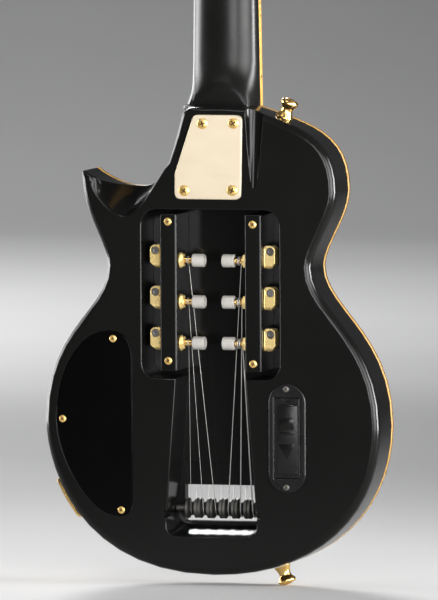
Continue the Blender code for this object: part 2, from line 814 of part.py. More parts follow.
def make_truss_rod():
    """The rod under the fretboard, with a key socket at its heel end."""
    low = HEEL_END_Z + 0.003
    profile = [(0, low + 0.006), (0.002, low + 0.006), (0.002, low), (ROD_RADIUS, low),
               (ROD_RADIUS, ROD_END_Z), (0, ROD_END_Z)]
    smooth(mesh_object("truss_rod", lathe(profile, 16, Matrix.Translation((0, ROD_Y, 0))), steel()))


def fret_z(number):
    return NUT_Z - SCALE_LENGTH * (1 - 2 ** (-number / 12))


def fret_mesh(number, side):
    """One fret, a crowned bar across the board that is sunk a little into it."""
    z = fret_z(number)
    half = board_half(z) - side - 0.0001
    profile = [(BOARD_TOP_Y - 0.0005, z - FRET_WIDTH / 2), (BOARD_TOP_Y, z - FRET_WIDTH / 2)]
    for turn in (40, 90, 140):
        angle = math.radians(turn)
        profile.append((BOARD_TOP_Y + FRET_HEIGHT * math.sin(angle), z - FRET_WIDTH / 2 * math.cos(angle)))
    profile += [(BOARD_TOP_Y, z + FRET_WIDTH / 2), (BOARD_TOP_Y - 0.0005, z + FRET_WIDTH / 2)]
    bar = prism_x(profile, -half, half)
    bmesh.ops.recalc_face_normals(bar, faces=bar.faces)
    made = bpy.data.meshes.new("fret")
    bar.to_mesh(made)
    bar.free()
    return made


def make_fretboard():
    side = BOARD_BINDING + GAP
    outline = []
    for z, x_side in ((BOARD_END_Z + side, 1), (NUT_Z - GAP, 1), (NUT_Z - GAP, -1), (BOARD_END_Z + side, -1)):
        outline.append((x_side * (board_half(z) - side), z))
    part = mesh_object("fretboard", prism_y(outline, BOARD_BACK_Y, BOARD_TOP_Y), rosewood())
    frets = bmesh.new()
    for number in range(1, FRET_COUNT + 1):
        one = fret_mesh(number, side)
        frets.from_mesh(one)
        bpy.data.meshes.remove(one)
    fuse(part, "frets", frets)
    return part


def make_board_binding():
    top = NUT_Z - GAP
    outer = [(board_half(top), top), (board_half(BOARD_END_Z), BOARD_END_Z)]
    inner = [(board_half(BOARD_END_Z + BOARD_BINDING) - BOARD_BINDING, BOARD_END_Z + BOARD_BINDING),
             (board_half(top) - BOARD_BINDING, top)]
    half = outer + inner
    outline = half[:2] + [(-x, z) for x, z in reversed(half[:2])]
    outline += [(-x, z) for x, z in reversed(half[2:])] + half[2:]
    return mesh_object("fretboard_binding", prism_y(outline, BOARD_BACK_Y, BOARD_TOP_Y), amber())


def make_nut():
    half = NUT_WIDTH / 2
    top = NUT_STRING_Y + 0.0006
    block = box((-half, BOARD_BACK_Y, NUT_Z), (half, top, NUT_Z + NUT_LENGTH))
    part = mesh_object("nut", block, off_white())
    for number in range(6):
        radius = STRING_DIAMETERS[number] / 2 + GAP
        x = (number - 2.5) * NUT_PITCH
        low = (x - radius, NUT_STRING_Y - radius, NUT_Z - 0.001)
        cut(part, "cut_notch", box(low, (x + radius, top + 0.001, NUT_Z + NUT_LENGTH + 0.001)))
    return applied(part)


def make_anchor():
    low = NUT_Z + NUT_LENGTH + GAP
    high = NUT_Z + NUT_LENGTH + HEAD_LENGTH
    top = BOARD_TOP_Y + 0.0035
    outline = rounded_box(-NUT_WIDTH / 2, NUT_WIDTH / 2, low, high, 0.002, 3)
    part = mesh_object("string_anchor", prism_y(outline, BOARD_BACK_Y, top), black_metal())
    for number in range(6):
        x = (number - 2.5) * NUT_PITCH
        start = (x - 0.0010, ANCHOR_STRING_Y - 0.0012, low - 0.001)
        cut(part, "cut_slot", box(start, (x + 0.0010, top + 0.002, high - 0.0055)))
        start = (x - 0.0023, ANCHOR_STRING_Y - 0.0023, high - 0.0060)
        cut(part, "cut_ball", box(start, (x + 0.0023, top + 0.002, high + 0.001)))
    return applied(part)


def make_neck_plate():
    corners = ((-0.0275, PLATE_BOTTOM), (0.0250, PLATE_BOTTOM), (0.0262, PLATE_TOP), (-0.0122, PLATE_TOP),
               (-0.0272, PLATE_BOTTOM + 0.0195))
    outline = rounded_polygon(corners, PLATE_CORNER, 6)
    part = mesh_object("neck_plate", prism_y(outline, -PLATE_THICKNESS - GAP, -GAP), pale_gold())
    bevel(part, 0.0004, 1, 60)
    return part


def make_rail(name, side):
    left, right = sorted((side * RAIL_INNER, side * RAIL_OUTER))
    floor = CAVITY_DEPTH - GAP
    rounding = 0.0016
    profile = [(right, floor), (left, floor)]
    profile += arc((left + rounding, RAIL_FACE + rounding), rounding, 180, 270, 4)
    profile += arc((right - rounding, RAIL_FACE + rounding), rounding, 270, 360, 4)
    rings = [[Vector((x, y, z)) for x, y in profile] for z in (RAIL_BOTTOM, RAIL_TOP)]
    part = mesh_object(name, ring_stack(rings), satin_black())
    for z in POST_HEIGHTS:
        bore = lathe([(SLEEVE_RADIUS + GAP, -0.002), (SLEEVE_RADIUS + GAP, RAIL_WIDTH + 0.002)], 14,
                     along((1, 0, 0), (left, POST_Y, z)))
        cut(part, "cut_bore", bore)
    return applied(part)


def housing_mesh(side):
    """One die-cast tuner housing about its post's axis, with its flange, its sleeve and its nut."""
    inner = HOUSING_X
    outer = inner + HOUSING_WIDTH
    low_y = HOUSING_FACE - POST_Y
    high_y = low_y + HOUSING_DEPTH
    top = WORM_OFFSET + 0.0044
    bottom = -0.0062
    face = [(inner, bottom), (outer - 0.0042, bottom), (outer, bottom + 0.0048)]
    face += arc((outer - HOUSING_CORNER, top - HOUSING_CORNER), HOUSING_CORNER, 0, 90, 6) + [(inner, top)]
    part = mesh_object("housing", prism_y([(side * x, z) for x, z in face], low_y, high_y), gold())
    belly = [(low_y, top + 0.001), (low_y, 0.0005)]
    belly += arc((low_y + 0.0058, 0.0), 0.0060, 175, 270, 6)
    belly += arc((high_y - 0.0040, -0.0020), 0.0040, 270, 360, 4)
    belly += [(high_y, top + 0.001)]
    modify(part, mesh_object("keep_belly", prism_x(belly, -0.06, 0.06)), "INTERSECT")
    flange_x = RAIL_OUTER + GAP
    flange = rounded_box(low_y, high_y - 0.001, -0.0052, top - 0.0006, 0.002, 3)
    fuse(part, "flange", prism_x(flange, *sorted((side * flange_x, side * (flange_x + HOUSING_FLANGE)))))
    neck = rounded_box(low_y + 0.0012, high_y - 0.0014, -0.0044, top - 0.0014, 0.002, 3)
    fuse(part, "housing_neck", prism_x(neck, *sorted((side * (flange_x + 0.0002), side * (inner + 0.0004)))))
    fuse_sleeve(part, side, inner)
    bore = POST_RADIUS + GAP
    place = along((side, 0, 0), (side * (SLEEVE_END - 0.001), 0, 0))
    cut(part, "cut_post", lathe([(bore, 0), (bore, inner + 0.0042 - SLEEVE_END)], 12, place))
    bore = WORM_RADIUS + GAP
    place = along((0, 1, 0), (side * WORM_X, low_y, WORM_OFFSET))
    cut(part, "cut_worm", lathe([(bore, -0.002), (bore, HOUSING_DEPTH + 0.002)], 12, place))
    return applied(part)


def fuse_sleeve(part, side, inner):
    """The sleeve through the rail, with the washer and the hex nut that clamp it on the far side."""
    place = along((side, 0, 0), (side * SLEEVE_END, 0, 0))
    fuse(part, "sleeve", lathe([(SLEEVE_RADIUS, 0), (SLEEVE_RADIUS, inner + 0.001 - SLEEVE_END)], 12, place))
    washer_x = RAIL_INNER - GAP - WASHER_THICKNESS
    place = along((side, 0, 0), (side * washer_x, 0, 0))
    fuse(part, "washer", lathe([(WASHER_RADIUS, 0), (WASHER_RADIUS, WASHER_THICKNESS)], 14, place))
    place = along((side, 0, 0), (side * (washer_x - TUNER_NUT_THICKNESS), 0, 0))
    profile = [(NUT_RADIUS - 0.0006, 0), (NUT_RADIUS, 0.0004), (NUT_RADIUS, TUNER_NUT_THICKNESS + 0.0003)]
    fuse(part, "hex_nut", lathe(profile, 6, place))


def worm_mesh():
    """The worm's shaft along +Y from its socket end."""
    place = along((0, 1, 0))
    profile = [(0, 0.0016), (KEY_RADIUS, 0.0016), (KEY_RADIUS, 0), (WORM_RADIUS, 0),
               (WORM_RADIUS, WORM_LENGTH), (0, WORM_LENGTH)]
    return mesh_object("worm", lathe(profile, 12, place), dark_steel())


def post_mesh(side):
    """A string post about its own axis, waisted where the string winds, with a spigot for its cap."""
    start = HOUSING_X + 0.0029
    reach = start - CAP_FACE
    shoulder = start - SLEEVE_END + 0.0003
    profile = [(0, 0), (POST_RADIUS, 0), (POST_RADIUS, shoulder), (POST_WAIST, shoulder + 0.0005),
               (POST_WAIST, reach - 0.0006), (POST_RADIUS, reach - 0.0002), (POST_RADIUS, reach),
               (0.0020, reach), (0.0020, reach + 0.0050), (0, reach + 0.0050)]
    place = along((-side, 0, 0), (side * start, 0, 0))
    return mesh_object("post", lathe(profile, 12, place), gold())


def tuner_slots():
    """Each string's tuner side and post height, from the treble side to the bass side."""
    low, middle, high = POST_HEIGHTS
    return ((-1, low), (-1, middle), (-1, high), (1, high), (1, middle), (1, low))


def placed(mesh, name, location):
    made = bpy.data.objects.new(name, mesh)
    made.location = location
    bpy.context.scene.collection.objects.link(made)
    return made


def cap_solid(side):
    """The cap as one closed profile about its axis."""
    bore = 0.0020 + GAP
    hollow = CAP_RADIUS - 0.0013
    profile = [(0, 0.0056), (bore, 0.0056), (bore, 0), (CAP_RADIUS - 0.0006, 0), (CAP_RADIUS, 0.0006),
               (CAP_RADIUS, CAP_LENGTH - 0.0008), (CAP_RADIUS - 0.0006, CAP_LENGTH),
               (hollow, CAP_LENGTH), (hollow, CAP_LENGTH - 0.0030), (0, CAP_LENGTH - 0.0030)]
    place = along((-side, 0, 0), (side * (CAP_FACE - GAP), 0, 0))
    return mesh_object("cap", lathe(profile, 14, place), off_white())


def make_tuners():
    worm = worm_mesh()
    patterns = {}
    for side in (-1, 1):
        patterns[side] = (housing_mesh(side), smooth(post_mesh(side)), smooth(cap_solid(side)))
    smooth(worm)
    for number, (side, z) in enumerate(tuner_slots(), start=1):
        housing, post, cap = patterns[side]
        placed(housing.data, f"tuner_housing_{number}", (0, POST_Y, z))
        placed(post.data, f"tuner_post_{number}", (0, POST_Y, z))
        placed(cap.data, f"post_cap_{number}", (0, POST_Y, z))
        placed(worm.data, f"tuner_worm_{number}", (side * WORM_X, HOUSING_FACE + 0.0002, z + WORM_OFFSET))
    for side in (-1, 1):
        for pattern in patterns[side]:
            bpy.data.objects.remove(pattern, do_unlink=True)
    bpy.data.objects.remove(worm, do_unlink=True)


def make_rollers():
    half = ROLLER_WIDTH / 2
    bore = AXLE_RADIUS + GAP
    profile = [(bore, -half), (ROLLER_RADIUS, -half), (ROLLER_RADIUS, -0.0024), (ROLLER_GROOVE, -0.0009),
               (ROLLER_GROOVE, 0.0009), (ROLLER_RADIUS, 0.0024), (ROLLER_RADIUS, half), (bore, half)]
    pattern = smooth(mesh_object("roller", lathe(profile, 16, along((1, 0, 0)), bored=True), dark_steel()))
    for number in range(6):
        spot = ((number - 2.5) * ROLLER_PITCH, ROLLER_Y, ROLLER_Z)
        placed(pattern.data, f"string_roller_{number + 1}", spot)
    bpy.data.objects.remove(pattern, do_unlink=True)
    radius = AXLE_RADIUS
    ends = [(0, -AXLE_HALF), (radius - 0.0005, -AXLE_HALF), (radius, -AXLE_HALF + 0.0005),
            (radius, AXLE_HALF - 0.0005), (radius - 0.0005, AXLE_HALF), (0, AXLE_HALF)]
    pin = lathe(ends, 16, along((1, 0, 0), (0, ROLLER_Y, ROLLER_Z)))
    smooth(mesh_object("roller_axle", pin, dark_steel()))


def crossing_tangent(first, first_radius, second, second_radius):
    """The tangent that passes the first circle on its +Y side and the second on its -Y side, in Y and Z."""
    apart = second - first
    length = apart.length
    towards = apart / length
    across = Vector((-towards.y, towards.x))
    if across.x < 0:
        across = -across
    share = (first_radius + second_radius) / length
    normal = towards * share + across * math.sqrt(1 - share * share)
    return first + normal * first_radius, second - normal * second_radius


def string_route(number):
    """A string's centre line: wound on its post, down the channel, round its roller and up to the anchor."""
    side, post_z = tuner_slots()[number]
    radius = STRING_DIAMETERS[number] / 2
    wound = POST_WAIST + GAP + radius
    turned = ROLLER_GROOVE + GAP + radius
    post = Vector((POST_Y, post_z))
    roller = Vector((ROLLER_Y, ROLLER_Z))
    roller_x = (number - 2.5) * ROLLER_PITCH
    leave, meet = crossing_tangent(post, wound, roller, turned)
    leave_angle = math.atan2(leave.y - post.y, leave.x - post.x)
    pitch = max(2 * radius + GAP, 0.0009)
    leave_x = WINDING_MIDDLE + pitch * WINDING_TURNS / 2
    points = []
    steps = 10 * WINDING_TURNS
    for k in range(steps + 1):
        turn = 2 * math.pi * WINDING_TURNS * (1 - k / steps)
        angle = leave_angle + turn
        x = side * (leave_x - pitch * turn / (2 * math.pi))
        points.append(Vector((x, post.x + wound * math.cos(angle), post.y + wound * math.sin(angle))))
    meet_angle = math.atan2(meet.y - roller.y, meet.x - roller.x)
    saddle = Vector((SADDLE_Y + radius + GAP, BRIDGE_Z))
    apart = saddle - roller
    share = turned / apart.length
    towards = apart.normalized()
    across = Vector((towards.y, -towards.x))
    normal = towards * share + across * math.sqrt(1 - share * share)
    end_angle = math.atan2(normal.y, normal.x)
    if meet_angle < 0:
        meet_angle += 2 * math.pi
    if end_angle < 0:
        end_angle += 2 * math.pi
    count = 9
    for k in range(count + 1):
        angle = meet_angle + (end_angle - meet_angle) * k / count
        round_x = roller.x + turned * math.cos(angle)
        points.append(Vector((roller_x, round_x, roller.y + turned * math.sin(angle))))
    saddle_x = (number - 2.5) * SADDLE_PITCH
    nut_x = (number - 2.5) * NUT_PITCH
    points.append(Vector((saddle_x, saddle.x, saddle.y - 0.0004)))
    points.append(Vector((saddle_x, saddle.x, saddle.y + 0.0004)))
    points.append(Vector((nut_x, NUT_STRING_Y, NUT_Z + 0.0004)))
    points.append(Vector((nut_x, NUT_STRING_Y, NUT_Z + NUT_LENGTH - 0.0004)))
    points.append(Vector((nut_x, ANCHOR_STRING_Y + 0.0004, NUT_Z + NUT_LENGTH + 0.004)))
    points.append(Vector((nut_x, ANCHOR_STRING_Y, NUT_Z + NUT_LENGTH + HEAD_LENGTH - 0.0045)))
    return points


def make_strings():
    for number in range(6):
        route = string_route(number)
        curve = bpy.data.curves.new(f"string_{number + 1}", "CURVE")
        curve.dimensions = "3D"
        curve.bevel_depth = STRING_DIAMETERS[number] / 2
        curve.bevel_resolution = 2
        curve.use_fill_caps = True
        spline = curve.splines.new("POLY")
        spline.points.add(len(route) - 1)
        for point, place in zip(spline.points, route):
            point.co = (*place, 1)
        curve.materials.append(steel())
        made = bpy.data.objects.new(f"string_{number + 1}", curve)
        bpy.context.scene.collection.objects.link(made)


def make_bridge():
    low = FRONT_Y + BRIDGE_LIFT
    high = low + BRIDGE_HEIGHT
    half = BRIDGE_LENGTH / 2
    across = BRIDGE_WIDTH / 2
    outline = rounded_box(-half, half, BRIDGE_Z - across, BRIDGE_Z + across, across - 0.0002, 6)
    part = mesh_object("bridge", prism_y(outline, low, high), gold())
    for number in range(6):
        x = (number - 2.5) * SADDLE_PITCH
        top = SADDLE_Y
        ridge = [(high - 0.001, BRIDGE_Z - 0.0042), (high - 0.001, BRIDGE_Z + 0.0042),
                 (top, BRIDGE_Z + 0.0006), (top, BRIDGE_Z - 0.0006)]
        fuse(part, "saddle", prism_x(ridge, x - 0.0038, x + 0.0038))
    for side in (-1, 1):
        stud = lathe([(STUD_RADIUS, 0), (STUD_RADIUS, STUD_DEPTH + BRIDGE_LIFT + 0.001)], 20,
                     along((0, 1, 0), (side * STUD_X, FRONT_Y - STUD_DEPTH, BRIDGE_Z)))
        fuse(part, "stud", stud)
    return part


def make_pickup():
    half = PICKUP_LENGTH / 2
    across = PICKUP_WIDTH / 2
    outline = rounded_box(-half, half, PICKUP_Z - across, PICKUP_Z + across, 0.003, 4)
    part = mesh_object("pickup", prism_y(outline, FRONT_Y - PICKUP_SINK, FRONT_Y + PICKUP_TOP), gloss_black())
    bevel(part, 0.0006, 2, 60)


def make_cover():
    outline = [(p.x, p.y) for p in cover_outline(0)]
    part = mesh_object("control_cover", prism_y(outline, 0, COVER_THICKNESS), gloss_black())
    bevel(part, 0.0003, 1, 60)
    return part


def tub_size():
    width = BATTERY_WIDTH + 2 * (TUB_WALL + GAP)
    length = BATTERY_LENGTH + 2 * (TUB_WALL + GAP)
    depth = BATTERY_DEPTH + TUB_WALL + 3 * GAP
    return width, length, depth


def make_battery_box():
    x, z = BOX_CENTRE
    radius = BOX_WIDTH / 2
    outline = rounded_box(x - radius, x + radius, z - BOX_LENGTH / 2, z + BOX_LENGTH / 2, radius - 0.0002, 8)
    part = mesh_object("battery_box", prism_y(outline, -BOX_FLANGE - GAP, -GAP), black_plastic())
    width, length, depth = tub_size()
    tub = box((x - width / 2, -0.001, z - length / 2), (x + width / 2, depth, z + length / 2))
    fuse(part, "tub", tub)
    inside = box((x - width / 2 + TUB_WALL, -0.004, z - length / 2 + TUB_WALL),
                 (x + width / 2 - TUB_WALL, depth - TUB_WALL, z + length / 2 - TUB_WALL))
    cut(part, "cut_inside", inside)
    lid = box((x - LID_WIDTH / 2 - GAP, -0.004, z - LID_LENGTH / 2 - GAP),
              (x + LID_WIDTH / 2 + GAP, LID_THICKNESS - BOX_FLANGE - GAP, z + LID_LENGTH / 2 + GAP))
    cut(part, "cut_lid", lid)
    return part


def make_lid():
    """The battery lid about its hinge line at the tail end, with a rounded hinge edge."""
    x, z = BOX_CENTRE
    hinge = Vector((x, LID_THICKNESS / 2 - BOX_FLANGE - 2 * GAP, z - LID_LENGTH / 2 + LID_THICKNESS / 2))
    half = LID_THICKNESS / 2
    profile = [(half, 0.0)] + arc((0, 0), half, 0, -180, 9)[1:] + [(-half, LID_LENGTH - LID_THICKNESS / 2),
                                                                    (half, LID_LENGTH - LID_THICKNESS / 2)]
    part = mesh_object("battery_lid", prism_x(profile, -LID_WIDTH / 2, LID_WIDTH / 2), black_plastic())
    notch = lathe([(0.004, -0.004), (0.004, 0.004)], 20, along((0, 1, 0), (0, 0, LID_LENGTH)))
    cut(part, "cut_notch", notch)
    part.location = hinge
    bpy.data.objects["cut_notch"].location = hinge
    return part


def make_battery():
    x, z = BOX_CENTRE
    low = (x - BATTERY_WIDTH / 2, GAP * 2, z - BATTERY_LENGTH / 2)
    high = (x + BATTERY_WIDTH / 2, BATTERY_DEPTH + GAP * 2, z + BATTERY_LENGTH / 2)
    part = mesh_object("battery", box(low, high), battery_wrap())
    bevel(part, 0.001, 2, 60)
    return part


def rim_stretch(half):
    """The outline's points round the jack, half a length to each side, each with its outward direction."""
    outline = body_outline(True)
    middle = rim_touch()
    run = []
    for step in (-1, 1):
        k = middle
        left = half
        side = []
        while left > 1e-9:
            span = outline[k + step] - outline[k]
            share = min(1.0, left / span.length)
            side.append(outline[k] + span * share)
            left -= span.length
            k += step
        run = list(reversed(side)) + [outline[middle]] if step < 0 else run + side
    moved = []
    for k, point in enumerate(run):
        across = (run[min(k + 1, len(run) - 1)] - run[max(k - 1, 0)]).normalized()
        moved.append((point, Vector((across.y, -across.x))))
    return moved


def make_jack():
    """The curved plate that follows the rim, and the jack through it with its bushing and nut."""
    stretch = rim_stretch(JACK_PLATE_LENGTH / 2)
    top = GAP + JACK_PLATE_THICKNESS
    outline = [tuple(point + outward * GAP) for point, outward in stretch]
    outline += [tuple(point + outward * top) for point, outward in reversed(stretch)]
    middle = BODY_DEPTH / 2
    half = JACK_PLATE_WIDTH / 2
    part = mesh_object("jack_plate", prism_y(outline, middle - half, middle + half), gold())
    corners = rounded_box(-0.0172, 0.0172, -half, half, JACK_PLATE_CORNER, 5)
    keep = ring_stack([[Vector((x, y, z)) for x, y in corners] for z in (-0.010, 0.010)])
    bmesh.ops.transform(keep, matrix=jack_place(), verts=keep.verts)
    modify(part, mesh_object("keep_corners", keep), "INTERSECT")
    cut(part, "cut_hole", lathe([(JACK_RADIUS + GAP, -0.01), (JACK_RADIUS + GAP, 0.01)], 24, jack_place()))
    outer = top + GAP
    profile = [(0, -JACK_LENGTH), (JACK_BODY, -JACK_LENGTH), (JACK_BODY, -0.0010), (JACK_RADIUS, -0.0010),
               (JACK_RADIUS, outer), (0.0075, outer), (0.0075, outer + 0.0016), (0.0062, outer + 0.0022),
               (JACK_BORE, outer + 0.0022), (JACK_BORE, 0.002 - JACK_LENGTH), (0, 0.002 - JACK_LENGTH)]
    smooth(mesh_object("output_jack", lathe(profile, 16, jack_place()), gold()))


def make_knobs():
    radius = KNOB_RADIUS
    height = KNOB_HEIGHT
    for name, x, z in KNOBS:
        profile = [(0, 0), (radius, 0), (radius, 0.0022), (radius - 0.0008, 0.0030),
                   (radius - 0.0018, height - 0.0012), (radius - 0.0030, height),
                   (radius - 0.0045, height - 0.0006), (0, height - 0.0006)]
        part = smooth(mesh_object(name, lathe(profile, 22, along((0, 1, 0))), gold()))
        part.location = (x, FRONT_Y + GAP, z)


def make_strap_buttons():
    profile = [(0, 0), (BUTTON_BASE, 0), (BUTTON_BASE - 0.0004, 0.0012), (BUTTON_NECK + 0.0006, 0.0038),
               (BUTTON_NECK, 0.0066), (BUTTON_NECK + 0.0008, 0.0086), (BUTTON_HEAD, 0.0108),
               (BUTTON_HEAD, 0.0124), (BUTTON_HEAD - 0.0010, BUTTON_HEIGHT), (0, BUTTON_HEIGHT)]
    buttons = (("strap_button_neck", NECK_BUTTON_X, True), ("strap_button_tail", TAIL_BUTTON_X, False))
    for name, x, top in buttons:
        place = button_place(x, top) @ Matrix.Translation((0, 0, 0.0004))
        smooth(mesh_object(name, lathe(profile, 18, place), gold()))


def main():
    clear_scene()
    make_body()
    make_binding()
    make_neck()
    make_truss_rod()
    make_fretboard()
    make_board_binding()
    make_nut()
    make_anchor()
    make_neck_plate()
    make_rail("rail_treble", -1)
    make_rail("rail_bass", 1)
    make_tuners()
    make_rollers()
    make_strings()
    make_bridge()
    make_pickup()
    make_cover()
    make_battery_box()
    make_lid()
    make_battery()
    make_jack()
    make_knobs()
    make_strap_buttons()


main()
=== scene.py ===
"""The looks of the headless travel guitar: finishes, small fasteners, lights and the photograph's camera.

Units are metres. +Z runs up the neck, the back faces -Y and the bass side is +X.
"""

import json
import math

import bmesh
import bpy
import numpy as np
from mathutils import Matrix, Vector
from mathutils.bvhtree import BVHTree

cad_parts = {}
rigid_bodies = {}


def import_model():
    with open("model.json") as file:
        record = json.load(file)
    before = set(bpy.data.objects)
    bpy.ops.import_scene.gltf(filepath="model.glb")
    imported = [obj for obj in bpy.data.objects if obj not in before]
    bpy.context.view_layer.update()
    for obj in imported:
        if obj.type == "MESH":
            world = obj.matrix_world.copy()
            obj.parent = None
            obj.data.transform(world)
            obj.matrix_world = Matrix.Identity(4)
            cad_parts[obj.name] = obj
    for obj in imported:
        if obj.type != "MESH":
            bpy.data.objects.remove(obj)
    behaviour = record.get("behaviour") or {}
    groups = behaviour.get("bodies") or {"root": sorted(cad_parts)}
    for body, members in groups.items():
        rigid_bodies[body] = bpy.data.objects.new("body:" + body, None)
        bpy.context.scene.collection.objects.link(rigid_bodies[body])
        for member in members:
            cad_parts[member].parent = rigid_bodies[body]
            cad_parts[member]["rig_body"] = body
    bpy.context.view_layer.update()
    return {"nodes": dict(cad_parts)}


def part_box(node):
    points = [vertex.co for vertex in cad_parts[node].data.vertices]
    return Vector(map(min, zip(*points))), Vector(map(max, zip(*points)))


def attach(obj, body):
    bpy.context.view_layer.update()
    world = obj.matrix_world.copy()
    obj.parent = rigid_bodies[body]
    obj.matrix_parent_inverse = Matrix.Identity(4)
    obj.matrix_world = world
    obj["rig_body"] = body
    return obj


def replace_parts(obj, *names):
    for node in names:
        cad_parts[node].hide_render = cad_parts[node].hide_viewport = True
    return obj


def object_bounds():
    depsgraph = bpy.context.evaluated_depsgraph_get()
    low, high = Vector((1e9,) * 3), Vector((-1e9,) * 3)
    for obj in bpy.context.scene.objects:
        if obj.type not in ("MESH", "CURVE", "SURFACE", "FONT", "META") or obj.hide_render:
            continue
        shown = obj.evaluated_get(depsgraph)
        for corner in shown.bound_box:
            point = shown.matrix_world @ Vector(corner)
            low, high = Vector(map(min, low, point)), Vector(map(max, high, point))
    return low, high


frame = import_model()
nodes = frame["nodes"]

# Camera, fitted to the photograph
CAMERA_AZIMUTH = math.radians(15.40)
CAMERA_ELEVATION = math.radians(4.03)
CAMERA_ROLL = math.radians(-0.28)
CAMERA_DISTANCE = 9.0
CAMERA_TARGET = Vector((0.00067, 0.0225, 0.20954))
CAMERA_FOCAL_PX = 11774.7
CAMERA_CLIP_END = 60.0
FRAME_HEIGHT_PX = 600
SENSOR_MM = 36.0

# Stage and world
FLOOR_REACH = 6.0
FLOOR_BACK = 4.0
COVE_RADIUS = 0.6
COVE_RISE_DEGREES = 60
COVE_STEPS = 8
WORLD_COLOUR = (0.95, 0.97, 1.0, 1)
WORLD_STRENGTH = 0.08

# Lights: name, place, target, width and height, watts, spread in degrees
LIGHTS = (
    ("rim_treble", (-1.30, 0.05, 0.55), (0, 0.05, 0.55), (0.8, 1.2), 8, 64),
    ("rim_behind", (-0.98, 0.88, 0.55), (0, 0, 0.55), (0.9, 1.2), 2.5, 64),
    ("rim_bass", (1.35, 0.02, 0.55), (0, 0.02, 0.55), (0.4, 1.2), 9, 64),
    ("front_bass", (1.20, -1.20, 0.55), (0, 0, 0.55), (1.35, 1.2), 9, 64),
    ("front_strip", (0.30, -1.78, 0.55), (0, 0, 0.55), (0.50, 1.2), 2.5, 64),
    ("key", (-0.4, -1.3, 2.3), (0, 0, 0.30), (0.8, 0.8), 0.6, 46),
    ("floor_wash", (-1.5, 2.3, 3.2), (-1.5, 2.5, 0.0), (0.8, 0.8), 30, 76),
    ("floor_front", (0.5, -3.4, 3.2), (0.5, -3.6, 0.0), (1.5, 1.5), 14, 80),
    ("front_side", (-1.0, 2.3, 1.6), (0, 0, 0.30), (1.0, 1.0), 6, 50),
)

# Faces of the guitar that screws sit on
FRONT_Y = 0.045
PLATE_FACE_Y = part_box("neck_plate")[0].y
COVER_FACE_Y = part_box("control_cover")[0].y
RAIL_FACE_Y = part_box("rail_bass")[0].y
BOX_FACE_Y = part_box("battery_box")[0].y

# Screws on the back: stem, places in X and Z, head radius, face and finish
BACK_SCREWS = (
    ("plate_screw", ((-0.0052, 0.3458), (0.0193, 0.3462), (-0.0200, 0.2945), (0.0180, 0.2950)),
     0.0042, PLATE_FACE_Y, "screw"),
    ("rail_screw", ((-0.0338, 0.2705), (-0.0338, 0.1640), (0.0334, 0.2690), (0.0334, 0.1625)),
     0.0030, RAIL_FACE_Y, "screw"),
    ("cover_screw", ((-0.0774, 0.1804), (-0.1178, 0.1184), (-0.0714, 0.0490)),
     0.0028, COVER_FACE_Y, "screw"),
    ("box_screw", ((0.0600, 0.1439), (0.0600, 0.0688)),
     0.0023, BOX_FACE_Y, "dark_steel"),
)
STUD_SCREW_RADIUS = 0.0036
SADDLE_SCREW_RADIUS = 0.0017
SADDLE_SCREW_DROP = 0.0035
BUTTON_SCREW_RADIUS = 0.0036
JACK_SCREW_RADIUS = 0.0021
JACK_SCREW_ALONG = 0.0132
JACK_SCREW_DEPTH = 0.0137
JACK_RAY_START = 0.03

# A screw head, as shares of its radius: dome, crown, rim, and the recess's arm and half width
SCREW_DOME = 0.22
SCREW_CROWN = 0.98
SCREW_RIM = 0.18
RECESS_ARM = 0.62
RECESS_HALF_WIDTH = 0.13

# As shares of the dome's height: the recess's floor, and how far below the dome a face gets painted shade
RECESS_FLOOR = 0.1
PAINTED_SHADE_DEPTH = 0.14

# The share of its length that the recess keeps at its floor, and in metres the cutter's and the dome's lift
RECESS_TAPER = 0.7
RECESS_CLEARANCE = 0.0004
SCREW_LIFT = 0.0001
SCREW_STEPS = 7
SCREW_SEGMENTS = 40

# How far the cross recesses are turned, in radians: a plain turn, or a step from one screw to the next
SCREW_TURN = 0.4
BACK_TURN_STEP = 0.3
SADDLE_TURN_STEP = 0.5
JACK_TURN_STEP = 0.4

# Sizes shared with the CAD
SCALE_LENGTH = 0.62865
FRET_HEIGHT = 0.0011
BRIDGE_TOP = 0.0125
STUD_X = 0.0372
SADDLE_PITCH = 0.0102
JACK_ANGLE = math.radians(211)
BODY_MIDDLE_Z = 0.2
STRINGS = 6

# Position dots: radius, edge, depth and segments on the board and on its side, and the shift of a double dot
DOT_FRETS = (3, 5, 7, 9, 12, 15, 17, 19, 21)
OCTAVE = 12
BOARD_DOT = (0.0030, 0.0002, 0.0004, 32)
SIDE_DOT = (0.0011, 0.0001, 0.0003, 20)
BOARD_DOT_SHIFT = 0.0095
SIDE_DOT_SHIFT = 0.0047
DOT_RISE = 0.00006

# Ball ends of the strings: radius and height along the ball's own axis
BALL_PROFILE = ((0.0006, -0.0015), (0.0017, -0.0015), (0.0019, -0.0012), (0.0019, -0.0008),
                (0.0013, -0.0004), (0.0013, 0.0004), (0.0019, 0.0008), (0.0019, 0.0012),
                (0.0017, 0.0015), (0.0006, 0.0015))
BALL_SEGMENTS = 28
BALL_RISE = 0.0012
STRING_TIP = 0.0002

# Rollers: radii of the bore and the groove's floor, and half widths of the groove and its band of painted shade
ROLLER_BORE = 0.0028
ROLLER_CHAMFER = 0.0004
ROLLER_GROOVE = 0.0055
GROOVE_RIM_HALF = 0.0026
GROOVE_LIP_HALF = 0.0023
GROOVE_FOOT_HALF = 0.0015
GROOVE_FLOOR_HALF = 0.0009
GROOVE_SHADE_HALF = 0.0025
GROOVE_LIP_DROP = 0.0003
GROOVE_FOOT_RISE = 0.0005
ROLLER_SEGMENTS = 48

